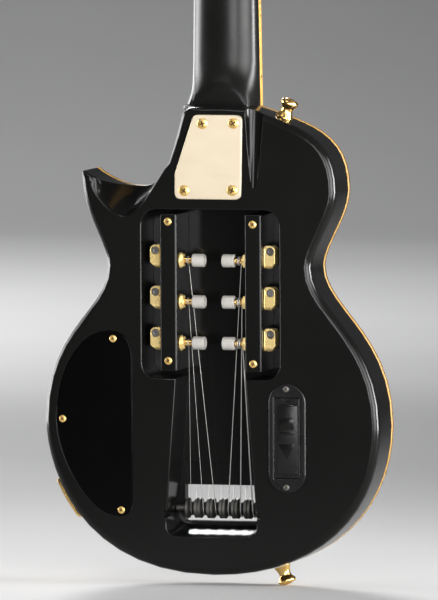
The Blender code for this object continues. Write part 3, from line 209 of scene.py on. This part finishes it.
# Knobs: the skirt as (inset from the rim, height) and the top as (inset, drop from the top)
RIBBED = 1
KNOB_SKIRT = ((0.0003, 0), (0, 0.0004), (0, 0.0018), (0.0010, 0.0026), (0.0012, 0.0034, RIBBED))
KNOB_TOP = ((0.0022, 0.0018, RIBBED), (0.0030, 0.0008), (0.0040, 0), (0.0050, 0.0003), (0.0070, 0.0012))
KNOB_DISH = 0.0016
KNOB_RIDGE = 0.0005
KNOB_SEGMENTS = 144

# The battery lid's panel, as insets from the lid's four edges, and its corners' radius
PANEL_BASS_INSET = 0.0014
PANEL_TREBLE_INSET = 0.0024
PANEL_TOP_INSET = 0.0052
PANEL_BOTTOM_INSET = 0.0036
PANEL_CORNER = 0.0012

# Its arrow, which points to the tail, with a bar's bottom, top and corner radius. These are the guitar's own Z.
ARROW_HEAD_HALF = 0.0066
ARROW_HEAD_TOP = 0.1020
ARROW_HEAD_TIP = 0.0902
ARROW_BAR_HALF = 0.0056
ARROW_SHAFT = (0.1094, 0.1112, 0.0004)
ARROW_TAIL = (0.1128, 0.1218, 0.0012)

# Its notch, measured down from the upper edge, and its two slots, up from the lower edge
NOTCH_HALF = 0.0057
NOTCH_LOW = 0.0062
NOTCH_HIGH = 0.0046
NOTCH_CORNER = 0.0007
SLOT_INNER = 0.0064
SLOT_OUTER = 0.0074
SLOT_LOW = 0.0024
SLOT_HIGH = 0.0056
SLOT_CORNER = 0.0003

# How far the lid's details stand out, start under its face and have their edges rounded, and that edge's form
DETAIL_RISE = 0.00055
PANEL_RISE = 0.0003
SLOT_RISE = 0.0004
DETAIL_FOOT = 0.0002
DETAIL_EDGE = 0.00015
EDGE_MIDDLE = 0.3
LEAST_LEAN = 0.35
STRAIGHT = 1e-3
CORNER_STEPS = 5

# A turned form's point nearer to its axis than this is a pole
POLE_RADIUS = 1e-9

# How far a node's edges are rounded
PLAIN_EDGE = 0.0002
EDGE_WIDTHS = {
    "body": 0.0003,
    "neck": 0.0004,
    "neck_plate": 0.0006,
    "control_cover": 0.0004,
    "battery_box": 0.0010,
    "battery_lid": 0.0004,
    "rail_treble": 0.0009,
    "rail_bass": 0.0009,
    "tuner_housing": 0.0003,
    "body_binding": 0,
    "string": 0,
    "tuner_post": 0.0001,
    "tuner_worm": 0.0001,
    "pickup": 0.0006,
    "fretboard": 0,
}
EDGE_ANGLE = math.radians(38)
EDGE_SEGMENTS = 2
FLAT_ANGLE = math.radians(0.5)
SHARP_ANGLE = math.radians(35)
WELD_DISTANCE = 1e-6
NORMAL_WEIGHT = 60

# The body has openings in its flat faces, so its edges are rounded on even triangles
HOLED = ("body",)
HOLED_STEPS = ("flat", "even_triangles", "edge", "flat")
PLAIN_STEPS = ("flat", "edge", "flat")

# Paint starts this far above a plane
PAINT_MARGIN = 0.00002

# Where the two ends of a finish's noise ramp lie
RAMP_LOW = 0.3
RAMP_HIGH = 0.7
WINDING_SCALE = 2600

# What the two black lacquers share, and the stretch of the turning marks on the rollers
BLACK_LACQUER = ((9, 4), (0.0040, 0.0040, 0.0038), (0.0054, 0.0054, 0.0050))
LACQUER_RELIEF = ((420, 2), 0.05, 0.0002)
ROLLER_TURNED = (6, 1, 1)

# Finishes whose colour, roughness and relief each follow a noise. A row holds the material's name, then
# colour and roughness as (noise, low, high), then relief as (noise, strength, distance) or none, then the
# shader's plain settings. A noise is its scale and detail, and sometimes a stretch in X, Y and Z.
NOISE_FINISHES = {
    "satin": ("satin_lacquer", BLACK_LACQUER, ((40, 5), 0.15, 0.20), LACQUER_RELIEF,
              {"Specular_IOR_Level": 0.22}),
    "neck": ("neck_lacquer", BLACK_LACQUER, ((40, 5), 0.25, 0.31), LACQUER_RELIEF,
             {"Specular_IOR_Level": 0.22}),
    "gloss": ("gloss_lacquer", ((12, 3), (0.0008, 0.0008, 0.0008), (0.0014, 0.0014, 0.0014)),
              ((60, 6), 0.10, 0.17), ((60, 2), 0.03, 0.0001), {"Specular_IOR_Level": 0.12}),
    "moulded": ("moulded_plastic", ((30, 3), (0.0036, 0.0036, 0.0037), (0.0058, 0.0058, 0.0059)),
                ((90, 4), 0.24, 0.32), ((1800, 3), 0.25, 0.0001), {"Specular_IOR_Level": 0.32}),
    "gold": ("gold_plating", ((35, 4), (0.84, 0.52, 0.16), (0.93, 0.64, 0.25)),
             ((160, 5), 0.16, 0.28), ((700, 2), 0.05, 0.0001), {"Metallic": 1.0}),
    "housing": ("satin_gold", ((45, 4), (0.95, 0.71, 0.28), (0.98, 0.75, 0.33)),
                ((120, 3), 0.26, 0.30), ((1400, 3), 0.06, 0.0001), {"Metallic": 0.62}),
    "screw": ("screw_gold", ((180, 3), (0.78, 0.50, 0.15), (0.90, 0.62, 0.24)),
              ((300, 3), 0.30, 0.38), ((1800, 2), 0.05, 0.0001), {"Metallic": 0.85}),
    # Painted shade for the screws' cross recesses and rims, a dark brown
    "painted_screw_shade": ("painted_screw_shade", ((400, 3), (0.050, 0.028, 0.010), (0.090, 0.052, 0.020)),
                ((300, 3), 0.55, 0.70), None, {"Specular_IOR_Level": 0.1}),
    "plate": ("plate_gold", ((14, 4), (0.64, 0.545, 0.40), (0.67, 0.575, 0.43)),
              ((40, 4, (1, 1, 6)), 0.36, 0.44), ((1500, 2, (4, 1, 0.4)), 0.04, 0.0001), {"Metallic": 0.38}),
    "amber": ("amber_plastic", ((25, 4, (1, 1, 0.3)), (0.50, 0.27, 0.060), (0.60, 0.35, 0.095)),
              ((120, 3), 0.22, 0.32), ((500, 2), 0.04, 0.0001),
              {"Subsurface_Weight": 0.10, "Subsurface_Radius": (0.002, 0.001, 0.0003)}),
    "white": ("off_white_plastic", ((60, 4), (0.38, 0.365, 0.335), (0.44, 0.425, 0.39)),
              ((200, 3), 0.30, 0.42), ((900, 2), 0.05, 0.0001), {}),
    "steel": ("bright_steel", ((40, 3), (0.52, 0.51, 0.50), (0.66, 0.65, 0.63)),
              ((220, 4), 0.22, 0.34), ((1200, 2), 0.05, 0.0001), {"Metallic": 1.0}),
    "dark_steel": ("dark_steel", ((60, 3), (0.13, 0.127, 0.118), (0.19, 0.186, 0.174)),
                   ((300, 4, ROLLER_TURNED), 0.48, 0.60), ((1600, 2, ROLLER_TURNED), 0.10, 0.0001),
                   {"Metallic": 0.9}),
    # Painted shade for the rollers' grooves, a darker steel
    "groove_shade": ("painted_groove_shade", ((90, 3), (0.016, 0.016, 0.015), (0.028, 0.027, 0.025)),
              ((300, 4, ROLLER_TURNED), 0.42, 0.55), None, {"Metallic": 0.5}),
    "worm": ("worm_steel", ((80, 3), (0.16, 0.15, 0.145), (0.26, 0.25, 0.24)),
             ((260, 4), 0.28, 0.42), ((1500, 2), 0.06, 0.0001), {"Metallic": 1.0}),
    "battery": ("battery_skin", ((20, 3), (0.16, 0.16, 0.17), (0.24, 0.24, 0.25)),
                ((150, 3), 0.30, 0.40), None, {"Metallic": 0.3}),
    "pearl": ("pearl", ((420, 3, (1, 1, 2)), (0.62, 0.63, 0.60), (0.80, 0.79, 0.76)),
              ((300, 3), 0.16, 0.26), None, {}),
}


class Nodes:
    """A material's node tree, with short calls for its common nodes."""

    def __init__(self, name):
        self.material = bpy.data.materials.new(name)
        self.material.use_nodes = True
        self.tree = self.material.node_tree
        self.shader = self.tree.nodes["Principled BSDF"]
        self.place = self.add("ShaderNodeTexCoord").outputs["Object"]

    def add(self, kind, **values):
        made = self.tree.nodes.new(kind)
        for key, value in values.items():
            setattr(made, key, value)
        return made

    def join(self, source, target):
        self.tree.links.new(source, target)

    def set(self, **values):
        for key, value in values.items():
            self.shader.inputs[key.replace("_", " ")].default_value = value

    def scaled(self, scale):
        mapping = self.add("ShaderNodeMapping")
        mapping.inputs["Scale"].default_value = scale
        self.join(self.place, mapping.inputs["Vector"])
        return mapping.outputs["Vector"]

    def noise(self, scale, detail, stretch=(1, 1, 1), rough=0.5):
        texture = self.add("ShaderNodeTexNoise")
        texture.inputs["Scale"].default_value = scale
        texture.inputs["Detail"].default_value = detail
        texture.inputs["Roughness"].default_value = rough
        self.join(self.scaled(stretch), texture.inputs["Vector"])
        return texture.outputs["Fac"]

    def ramp(self, value, *stops):
        """A colour ramp over (position, colour) stops, where a colour may be one grey number."""
        made = self.add("ShaderNodeValToRGB")
        elements = made.color_ramp.elements
        while len(elements) < len(stops):
            elements.new(0.5)
        for element, (position, colour) in zip(elements, stops):
            element.position = position
            element.color = (*colour, 1) if isinstance(colour, tuple) else (colour, colour, colour, 1)
        self.join(value, made.inputs["Fac"])
        return made.outputs["Color"]

    def bump(self, height, strength, distance):
        made = self.add("ShaderNodeBump")
        made.inputs["Strength"].default_value = strength
        made.inputs["Distance"].default_value = distance
        self.join(height, made.inputs["Height"])
        self.join(made.outputs["Normal"], self.shader.inputs["Normal"])

    def colour(self, socket):
        self.join(socket, self.shader.inputs["Base Color"])

    def roughness(self, socket):
        self.join(socket, self.shader.inputs["Roughness"])


def noise_finish(name, colour, rough, relief, settings):
    """A finish from one row of NOISE_FINISHES."""
    m = Nodes(name)
    noise, low, high = colour
    m.colour(m.ramp(m.noise(*noise), (RAMP_LOW, low), (RAMP_HIGH, high)))
    noise, low, high = rough
    m.roughness(m.ramp(m.noise(*noise), (RAMP_LOW, low), (RAMP_HIGH, high)))
    if relief:
        noise, strength, distance = relief
        m.bump(m.noise(*noise), strength, distance)
    m.set(**settings)
    return m.material


def string_wire():
    """Plain and wound strings: a fine even winding that reads as a satin line."""
    m = Nodes("string_wire")
    turns = m.add("ShaderNodeTexWave", wave_type="BANDS", bands_direction="Z")
    turns.inputs["Scale"].default_value = WINDING_SCALE
    m.join(m.place, turns.inputs["Vector"])
    m.colour(m.ramp(turns.outputs["Fac"], (0.2, (0.50, 0.49, 0.47)), (0.8, (0.60, 0.59, 0.57))))
    m.roughness(m.ramp(m.noise(220, 4), (RAMP_LOW, 0.40), (RAMP_HIGH, 0.50)))
    m.bump(turns.outputs["Fac"], 0.15, 0.0001)
    m.set(Metallic=0.75)
    return m.material


def rosewood():
    """The fretboard's dark wood, with open grain along the neck."""
    m = Nodes("rosewood")
    grain = m.noise(30, 8, (6, 6, 0.35), 0.6)
    m.colour(m.ramp(grain, (0.25, (0.018, 0.010, 0.007)), (0.55, (0.045, 0.024, 0.015)),
                    (0.8, (0.075, 0.040, 0.024))))
    m.roughness(m.ramp(grain, (RAMP_LOW, 0.55), (RAMP_HIGH, 0.42)))
    m.bump(m.noise(260, 5, (4, 4, 0.25)), 0.25, 0.0002)
    return m.material


def floor_finish():
    m = Nodes("pale_floor")
    m.colour(m.ramp(m.noise(2, 3), (RAMP_LOW, 0.54), (RAMP_HIGH, 0.57)))
    m.set(Roughness=0.8)
    return m.material


finishes = {key: noise_finish(*row) for key, row in NOISE_FINISHES.items()}
finishes["wire"] = string_wire()
finishes["rosewood"] = rosewood()
finishes["floor"] = floor_finish()


def numbered(stem):
    return tuple(f"{stem}_{n}" for n in range(1, STRINGS + 1))


def finish_nodes():
    """Gives every carried-over CAD node its finish, with smooth shading between its near-flat faces."""
    plan = {
        "satin": ("body", "rail_treble", "rail_bass"),
        "neck": ("neck",),
        "gloss": ("control_cover", "pickup"),
        "moulded": ("battery_box", "battery_lid", "string_anchor"),
        "amber": ("body_binding", "fretboard_binding"),
        "rosewood": ("fretboard",),
        "plate": ("neck_plate",),
        "white": ("nut",) + numbered("post_cap"),
        "gold": ("bridge", "jack_plate", "output_jack", "volume_knob", "tone_knob", "strap_button_neck",
                 "strap_button_tail") + numbered("tuner_post"),
        "housing": numbered("tuner_housing"),
        "worm": numbered("tuner_worm"),
        "steel": ("truss_rod",),
        "dark_steel": ("roller_axle",) + numbered("string_roller"),
        "wire": numbered("string"),
        "battery": ("battery",),
    }
    for finish, names in plan.items():
        for name in names:
            node = nodes[name]
            node.data.materials.clear()
            node.data.materials.append(finishes[finish])
            soften(node, EDGE_WIDTHS.get(name.rstrip("_123456"), PLAIN_EDGE))


def soften(node, width):
    """Joins a CAD node's triangles into whole faces, rounds its edges by a width and shades it smooth."""
    mesh = node.data
    if "custom_normal" in mesh.attributes:
        mesh.attributes.remove(mesh.attributes["custom_normal"])
    mesh.shade_smooth()
    node.modifiers.new("weld", "WELD").merge_threshold = WELD_DISTANCE
    for step in HOLED_STEPS if node.name in HOLED else PLAIN_STEPS:
        if step == "flat":
            flat = node.modifiers.new("flat", "DECIMATE")
            flat.decimate_type = "DISSOLVE"
            flat.angle_limit = FLAT_ANGLE
            flat.delimit = {"MATERIAL"}
        elif step == "even_triangles":
            node.modifiers.new("even_triangles", "TRIANGULATE").ngon_method = "BEAUTY"
        elif width:
            edge = node.modifiers.new("edge", "BEVEL")
            edge.limit_method = "ANGLE"
            edge.angle_limit = EDGE_ANGLE
            edge.width = width
            edge.segments = EDGE_SEGMENTS
            edge.use_clamp_overlap = False
    even = node.modifiers.new("even", "WEIGHTED_NORMAL")
    even.weight = NORMAL_WEIGHT
    even.keep_sharp = False


def paint_above(node, y, finish):
    """Gives the faces in front of a depth a second finish."""
    mesh = nodes[node].data
    mesh.materials.append(finishes[finish])
    for face in mesh.polygons:
        if face.center.y > y + PAINT_MARGIN:
            face.material_index = 1


def new_object(name, bm, finish, body):
    """Makes a piece from a bmesh, which it frees, and lets it ride on a body."""
    bmesh.ops.recalc_face_normals(bm, faces=bm.faces)
    mesh = bpy.data.meshes.new(name)
    bm.to_mesh(mesh)
    bm.free()
    mesh.materials.append(finishes[finish])
    mesh.shade_smooth()
    mesh.set_sharp_from_angle(angle=SHARP_ANGLE)
    made = bpy.data.objects.new(name, mesh)
    bpy.context.scene.collection.objects.link(made)
    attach(made, body)
    return made


def turned(bm, profile, segments, place, bored=False, ridge=0.0):
    """Adds a turned form about the place's local Z from (radius, height) points, with a pole at radius 0.

    Bored joins the last point to the first. A ring marked RIBBED has two of every four points set in.
    """
    rows = []
    for radius, height, *ribbed in profile:
        if radius < POLE_RADIUS:
            rows.append([bm.verts.new(place @ Vector((0, 0, height)))])
            continue
        row = []
        for k in range(segments):
            angle = 2 * math.pi * k / segments
            reach = radius - (ridge if ribbed and k % 4 < 2 else 0)
            spot = Vector((reach * math.cos(angle), reach * math.sin(angle), height))
            row.append(bm.verts.new(place @ spot))
        rows.append(row)
    pairs = list(zip(rows, rows[1:]))
    if bored:
        pairs.append((rows[-1], rows[0]))
    for low, high in pairs:
        for k in range(segments):
            n = k + 1
            ends = [low[k % len(low)], low[n % len(low)], high[n % len(high)], high[k % len(high)]]
            face = list(dict.fromkeys(ends))
            if len(face) > 2:
                bm.faces.new(face)


def raised(bm, outline, foot, top, edge):
    """Adds a flat raised shape on the back, from an X and Z outline and two depths, with rounded edges."""
    centre = Vector((sum(x for x, z in outline) / len(outline), sum(z for x, z in outline) / len(outline)))
    rows = []
    eased = EDGE_MIDDLE * edge
    for inset, y in ((0, foot), (0, top + edge), (eased, top + eased), (edge, top)):
        row = []
        for k, (x, z) in enumerate(outline):
            before = Vector(outline[k - 1])
            after = Vector(outline[(k + 1) % len(outline)])
            here = Vector((x, z))
            inward = (before - here).normalized() + (after - here).normalized()
            if inward.length < STRAIGHT:
                run = (after - before).normalized()
                inward = Vector((-run.y, run.x))
            inward.normalize()
            if inward.dot(centre - here) < 0:
                inward.negate()
            run = (after - here).normalized()
            lean = max(LEAST_LEAN, abs(inward.x * run.y - inward.y * run.x))
            moved = here + inward * (inset / lean)
            row.append(bm.verts.new((moved.x, y, moved.y)))
        rows.append(row)
    for low, high in zip(rows, rows[1:]):
        for k in range(len(outline)):
            n = (k + 1) % len(outline)
            bm.faces.new((low[k], low[n], high[n], high[k]))
    bm.faces.new(rows[0])
    bm.faces.new(rows[-1])


def rounded_outline(left, right, bottom, top, radius):
    """The X and Z outline of a rectangle with rounded corners."""
    outline = []
    for x, z, start in ((right - radius, bottom + radius, -90), (right - radius, top - radius, 0),
                        (left + radius, top - radius, 90), (left + radius, bottom + radius, 180)):
        for k in range(CORNER_STEPS + 1):
            angle = math.radians(start + 90 * k / CORNER_STEPS)
            outline.append((x + radius * math.cos(angle), z + radius * math.sin(angle)))
    return outline


def recess_cutter(radius, height, place, turn):
    """A cross-shaped cutter for a screw head, turned about local Z and narrower at its floor."""
    arm = radius * RECESS_ARM
    wide = radius * RECESS_HALF_WIDTH
    bm = bmesh.new()
    for angle in (turn, turn + math.pi / 2):
        spin = place @ Matrix.Rotation(angle, 4, "Z")
        rows = []
        for z, share in ((height + RECESS_CLEARANCE, 1.0), (height * RECESS_FLOOR, RECESS_TAPER)):
            reach = arm * share
            corners = ((-reach, -wide), (reach, -wide), (reach, wide), (-reach, wide))
            rows.append([bm.verts.new(spin @ Vector((x, y, z))) for x, y in corners])
        for k in range(4):
            n = (k + 1) % 4
            bm.faces.new((rows[0][k], rows[0][n], rows[1][n], rows[1][k]))
        bm.faces.new(rows[0])
        bm.faces.new(reversed(rows[1]))
    bmesh.ops.recalc_face_normals(bm, faces=bm.faces)
    mesh = bpy.data.meshes.new("recess")
    bm.to_mesh(mesh)
    bm.free()
    cutter = bpy.data.objects.new("recess", mesh)
    bpy.context.scene.collection.objects.link(cutter)
    return cutter


def cut_away(head, cutter):
    """Takes the cutter out of a head's mesh and deletes the cutter."""
    step = head.modifiers.new("recess", "BOOLEAN")
    step.operation = "DIFFERENCE"
    step.solver = "EXACT"
    step.use_self = True
    step.object = cutter
    evaluated = head.evaluated_get(bpy.context.evaluated_depsgraph_get())
    cut = bpy.data.meshes.new_from_object(evaluated)
    head.modifiers.clear()
    head.data = cut
    head.data.set_sharp_from_angle(angle=SHARP_ANGLE)
    bpy.data.objects.remove(cutter, do_unlink=True)


def cross_screw(name, radius, place, finish, turn=SCREW_TURN):
    """A countersunk screw head facing the place's local Z, its cross recess and rim painted dark as shade."""
    height = radius * SCREW_DOME
    rim = SCREW_RIM * radius
    profile = [(0, height)]
    for k in range(1, SCREW_STEPS + 1):
        angle = math.pi / 2 * k / SCREW_STEPS
        profile.append((radius * math.sin(angle) * SCREW_CROWN, height * math.cos(angle) + SCREW_LIFT))
    profile += [(radius, 0), (radius, -rim), (0, -rim)]
    bm = bmesh.new()
    turned(bm, profile, SCREW_SEGMENTS, place)
    head = new_object(name, bm, finish, "guitar")
    cut_away(head, recess_cutter(radius, height, place, turn))
    # The faces of the recess and the rim, below the dome, get painted shade
    head.data.materials.append(finishes["painted_screw_shade"])
    to_head = place.inverted()
    for face in head.data.polygons:
        spot = to_head @ face.center
        share = min(1.0, math.hypot(spot.x, spot.y) / radius)
        if spot.z < height * (math.sqrt(1 - share * share) - PAINTED_SHADE_DEPTH):
            face.material_index = 1


def facing_back(x, y, z):
    """A placement on the guitar's back: local Z points to -Y."""
    return Matrix.Translation((x, y, z)) @ Matrix.Rotation(math.pi / 2, 4, "X")


def pointing(place, direction):
    """A placement whose local Z points in a direction."""
    return Matrix.Translation(place) @ Vector(direction).to_track_quat("Z", "Y").to_matrix().to_4x4()


def middle(node):
    low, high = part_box(node)
    return (low + high) / 2


def turning_axis(node):
    """The centre of a turned node and the direction of its axis, away from the guitar's middle."""
    places = np.array([v.co for v in nodes[node].data.vertices])
    spread, directions = np.linalg.eigh(np.cov((places - places.mean(0)).T))
    odd = 0 if spread[1] - spread[0] > spread[2] - spread[1] else 2
    axis = Vector(directions[:, odd])
    centre = middle(node)
    if axis.dot(centre - Vector((0, centre.y, BODY_MIDDLE_Z))) < 0:
        axis.negate()
    return centre, axis


def make_back_screws():
    for stem, places, radius, face_y, finish in BACK_SCREWS:
        for number, (x, z) in enumerate(places, start=1):
            place = facing_back(x, face_y, z)
            cross_screw(f"{stem}_{number}", radius, place, finish, turn=BACK_TURN_STEP * number)


def make_rollers():
    """The string rollers as smooth drums, each with a rounded groove painted darker as shade."""
    for name in numbered("string_roller"):
        low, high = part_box(name)
        half = (high.x - low.x) / 2
        radius = (high.z - low.z) / 2
        profile = [(ROLLER_BORE, -half), (radius - ROLLER_CHAMFER, -half), (radius, ROLLER_CHAMFER - half),
                   (radius, -GROOVE_RIM_HALF), (radius - GROOVE_LIP_DROP, -GROOVE_LIP_HALF),
                   (ROLLER_GROOVE + GROOVE_FOOT_RISE, -GROOVE_FOOT_HALF), (ROLLER_GROOVE, -GROOVE_FLOOR_HALF)]
        profile += [(r, -h) for r, h in reversed(profile)]
        centre = middle(name)
        bm = bmesh.new()
        turned(bm, profile, ROLLER_SEGMENTS, pointing(centre, (1, 0, 0)), bored=True)
        drum = new_object(name + "_drum", bm, "dark_steel", nodes[name]["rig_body"])
        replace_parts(drum, name)
        # The groove's faces get a second, darker finish: painted shade
        drum.data.materials.append(finishes["groove_shade"])
        for face in drum.data.polygons:
            if abs(face.center.x - centre.x) < GROOVE_SHADE_HALF:
                face.material_index = 1


def make_knobs():
    """The two knobs with a ribbed skirt and a dished top."""
    for name, body in (("volume_knob", "volume"), ("tone_knob", "tone")):
        low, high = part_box(name)
        radius = (high.x - low.x) / 2
        height = high.y - low.y
        centre = middle(name)
        profile = [(0, 0)]
        profile += [(radius - inset, rise, *ribbed) for inset, rise, *ribbed in KNOB_SKIRT]
        profile += [(radius - inset, height - drop, *ribbed) for inset, drop, *ribbed in KNOB_TOP]
        profile.append((0, height - KNOB_DISH))
        place = pointing((centre.x, low.y, centre.z), (0, 1, 0))
        bm = bmesh.new()
        turned(bm, profile, KNOB_SEGMENTS, place, ridge=KNOB_RIDGE)
        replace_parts(new_object(name + "_ribbed", bm, "gold", body), name)


def make_lid_details():
    """The lid's raised panel, its arrow, the two latch marks and the finger notch."""
    low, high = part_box("battery_lid")
    across = (low.x + high.x) / 2

    def bar(left, right, bottom, top, radius):
        return rounded_outline(across + left, across + right, bottom, top, radius)

    panel = rounded_outline(low.x + PANEL_TREBLE_INSET, high.x - PANEL_BASS_INSET,
                            low.z + PANEL_BOTTOM_INSET, high.z - PANEL_TOP_INSET, PANEL_CORNER)
    arrow_head = ((across - ARROW_HEAD_HALF, ARROW_HEAD_TOP), (across + ARROW_HEAD_HALF, ARROW_HEAD_TOP),
                  (across, ARROW_HEAD_TIP))
    notch = bar(-NOTCH_HALF, NOTCH_HALF, high.z - NOTCH_LOW, high.z - NOTCH_HIGH, NOTCH_CORNER)
    slot_low = low.z + SLOT_LOW
    slot_high = low.z + SLOT_HIGH
    parts = (
        ("lid_panel", panel, PANEL_RISE, "moulded"),
        ("lid_arrow_head", arrow_head, DETAIL_RISE, "satin"),
        ("lid_arrow_shaft", bar(-ARROW_BAR_HALF, ARROW_BAR_HALF, *ARROW_SHAFT), DETAIL_RISE, "satin"),
        ("lid_arrow_tail", bar(-ARROW_BAR_HALF, ARROW_BAR_HALF, *ARROW_TAIL), DETAIL_RISE, "satin"),
        ("lid_notch", notch, DETAIL_RISE, "satin"),
        ("lid_slot_1", bar(-SLOT_OUTER, -SLOT_INNER, slot_low, slot_high, SLOT_CORNER), SLOT_RISE, "satin"),
        ("lid_slot_2", bar(SLOT_INNER, SLOT_OUTER, slot_low, slot_high, SLOT_CORNER), SLOT_RISE, "satin"),
    )
    for name, outline, rise, finish in parts:
        bm = bmesh.new()
        raised(bm, outline, low.y + DETAIL_FOOT, low.y - rise, DETAIL_EDGE)
        new_object(name, bm, finish, "lid")


def board_half(z):
    """Half the fretboard's width at a height."""
    low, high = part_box("fretboard_binding")
    nut_half = (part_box("nut")[1].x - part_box("nut")[0].x) / 2
    share = (z - low.z) / (high.z - low.z)
    return high.x + (nut_half - high.x) * share


def make_dot(name, size, place, finish):
    """A round inlay that stands a hair proud of the surface it is set in."""
    radius, edge, depth, segments = size
    profile = [(0, -depth), (radius, -depth), (radius, DOT_RISE / 2), (radius - edge, DOT_RISE), (0, DOT_RISE)]
    bm = bmesh.new()
    turned(bm, profile, segments, place)
    new_object(name, bm, finish, "guitar")


def make_position_dots():
    """Dots on the fretboard and small dark ones on the binding's bass side."""
    nut_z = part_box("nut")[0].z
    board_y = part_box("fretboard")[1].y - FRET_HEIGHT
    side_y = middle("fretboard_binding").y
    for fret in DOT_FRETS:
        z = nut_z - SCALE_LENGTH * (1 - (2 ** (-fret / OCTAVE) + 2 ** ((1 - fret) / OCTAVE)) / 2)
        shares = (-1, 1) if fret % OCTAVE == 0 else (0,)
        for number, share in enumerate(shares, start=1):
            place = pointing((BOARD_DOT_SHIFT * share, board_y, z), (0, 1, 0))
            make_dot(f"dot_{fret}_{number}", BOARD_DOT, place, "pearl")
        for number, share in enumerate(shares, start=1):
            side_z = z + SIDE_DOT_SHIFT * share
            place = pointing((board_half(side_z), side_y, side_z), (1, 0, 0))
            make_dot(f"side_dot_{fret}_{number}", SIDE_DOT, place, "gloss")


def make_ball_ends():
    """The ball ends that hold the strings behind the nut."""
    for name in numbered("string"):
        places = [v.co for v in nodes[name].data.vertices]
        top = max(p.z for p in places)
        tip = [p for p in places if p.z > top - STRING_TIP]
        end = sum(tip, Vector()) / len(tip)
        place = pointing((end.x, end.y, end.z + BALL_RISE), (1, 0, 0))
        bm = bmesh.new()
        turned(bm, BALL_PROFILE, BALL_SEGMENTS, place, bored=True)
        new_object(name.replace("string", "ball_end"), bm, "steel", "guitar")


def make_front_screws():
    """Screw heads of the bridge, its saddles, the strap buttons and the jack plate."""
    low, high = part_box("bridge")
    bridge_z = (low.z + high.z) / 2
    bridge_y = FRONT_Y + BRIDGE_TOP
    for number, x in enumerate((-STUD_X, STUD_X), start=1):
        place = pointing((x, bridge_y, bridge_z), (0, 1, 0))
        cross_screw(f"stud_screw_{number}", STUD_SCREW_RADIUS, place, "gold")
    for number in range(STRINGS):
        x = (number - (STRINGS - 1) / 2) * SADDLE_PITCH
        place = pointing((x, bridge_y - SADDLE_SCREW_DROP, low.z), (0, 0, -1))
        turn = SADDLE_TURN_STEP * number
        cross_screw(f"saddle_screw_{number + 1}", SADDLE_SCREW_RADIUS, place, "gold", turn)
    for name in ("strap_button_neck", "strap_button_tail"):
        centre, axis = turning_axis(name)
        reach = max((v.co - centre).dot(axis) for v in nodes[name].data.vertices)
        cross_screw(name + "_screw", BUTTON_SCREW_RADIUS, pointing(centre + axis * reach, axis), "gold")
    plate = BVHTree.FromObject(nodes["jack_plate"], bpy.context.evaluated_depsgraph_get())
    centre = middle("jack_plate")
    outward = Vector((math.cos(JACK_ANGLE), 0, math.sin(JACK_ANGLE)))
    along = Vector((-outward.z, 0, outward.x))
    for number, (run, depth) in enumerate(((-1, -1), (1, -1), (-1, 1), (1, 1)), start=1):
        start = centre + outward * JACK_RAY_START + along * (JACK_SCREW_ALONG * run)
        start += Vector((0, JACK_SCREW_DEPTH * depth, 0))
        spot, normal, _, _ = plate.ray_cast(start, -outward)
        if spot:
            turn = JACK_TURN_STEP * number
            cross_screw(f"jack_screw_{number}", JACK_SCREW_RADIUS, pointing(spot, normal), "gold", turn)


def make_stage():
    """A pale floor with a low cove behind the guitar, so that the view from any side stays open."""
    bm = bmesh.new()
    floor_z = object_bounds()[0].z
    angles = [math.radians(COVE_RISE_DEGREES * k / COVE_STEPS) for k in range(COVE_STEPS + 1)]
    profile = [(-FLOOR_REACH, floor_z)]
    for a in angles:
        profile.append((FLOOR_BACK + COVE_RADIUS * math.sin(a), floor_z + COVE_RADIUS * (1 - math.cos(a))))
    rows = [[bm.verts.new((x, y, z)) for y, z in profile] for x in (-FLOOR_REACH, FLOOR_REACH)]
    for k in range(len(profile) - 1):
        bm.faces.new((rows[0][k], rows[1][k], rows[1][k + 1], rows[0][k + 1]))
    mesh = bpy.data.meshes.new("floor")
    bm.to_mesh(mesh)
    bm.free()
    mesh.materials.append(finishes["floor"])
    mesh.shade_smooth()
    made = bpy.data.objects.new("floor", mesh)
    bpy.context.scene.collection.objects.link(made)


def area_light(name, place, target, size, power, spread):
    data = bpy.data.lights.new(name, "AREA")
    data.shape = "RECTANGLE"
    data.size, data.size_y = size
    data.energy = power
    data.spread = math.radians(spread)
    made = bpy.data.objects.new(name, data)
    made.location = place
    made.rotation_euler = (Vector(target) - Vector(place)).to_track_quat("-Z", "Y").to_euler()
    bpy.context.scene.collection.objects.link(made)


def make_lights():
    """The world, the studio lights, and a plain display transform that keeps the black deep."""
    world = bpy.data.worlds.new("studio")
    world.use_nodes = True
    background = world.node_tree.nodes["Background"]
    background.inputs["Color"].default_value = WORLD_COLOUR
    background.inputs["Strength"].default_value = WORLD_STRENGTH
    bpy.context.scene.world = world
    bpy.context.scene.view_settings.view_transform = "Standard"
    for row in LIGHTS:
        area_light(*row)


def make_camera():
    """The camera at the photograph's place, built from its own right, up and back directions."""
    a = CAMERA_AZIMUTH
    e = CAMERA_ELEVATION
    right = Vector((math.cos(a), math.sin(a), 0))
    ahead = Vector((-math.sin(a) * math.cos(e), math.cos(a) * math.cos(e), -math.sin(e)))
    up = right.cross(ahead)
    tilt = Matrix.Rotation(-CAMERA_ROLL, 3, ahead)
    right = tilt @ right
    up = tilt @ up
    data = bpy.data.cameras.new("camera")
    data.sensor_width = SENSOR_MM
    data.lens = CAMERA_FOCAL_PX * SENSOR_MM / FRAME_HEIGHT_PX
    data.clip_end = CAMERA_CLIP_END
    made = bpy.data.objects.new("camera", data)
    turn = Matrix((right, up, -ahead)).transposed().to_4x4()
    made.matrix_world = Matrix.Translation(CAMERA_TARGET - ahead * CAMERA_DISTANCE) @ turn
    bpy.context.scene.collection.objects.link(made)
    bpy.context.scene.camera = made


finish_nodes()
paint_above("fretboard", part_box("fretboard")[1].y - FRET_HEIGHT, "steel")
paint_above("bridge", FRONT_Y + BRIDGE_TOP, "steel")
make_back_screws()
make_rollers()
make_knobs()
make_lid_details()
make_position_dots()
make_ball_ends()
make_front_screws()
make_stage()
make_lights()
make_camera()
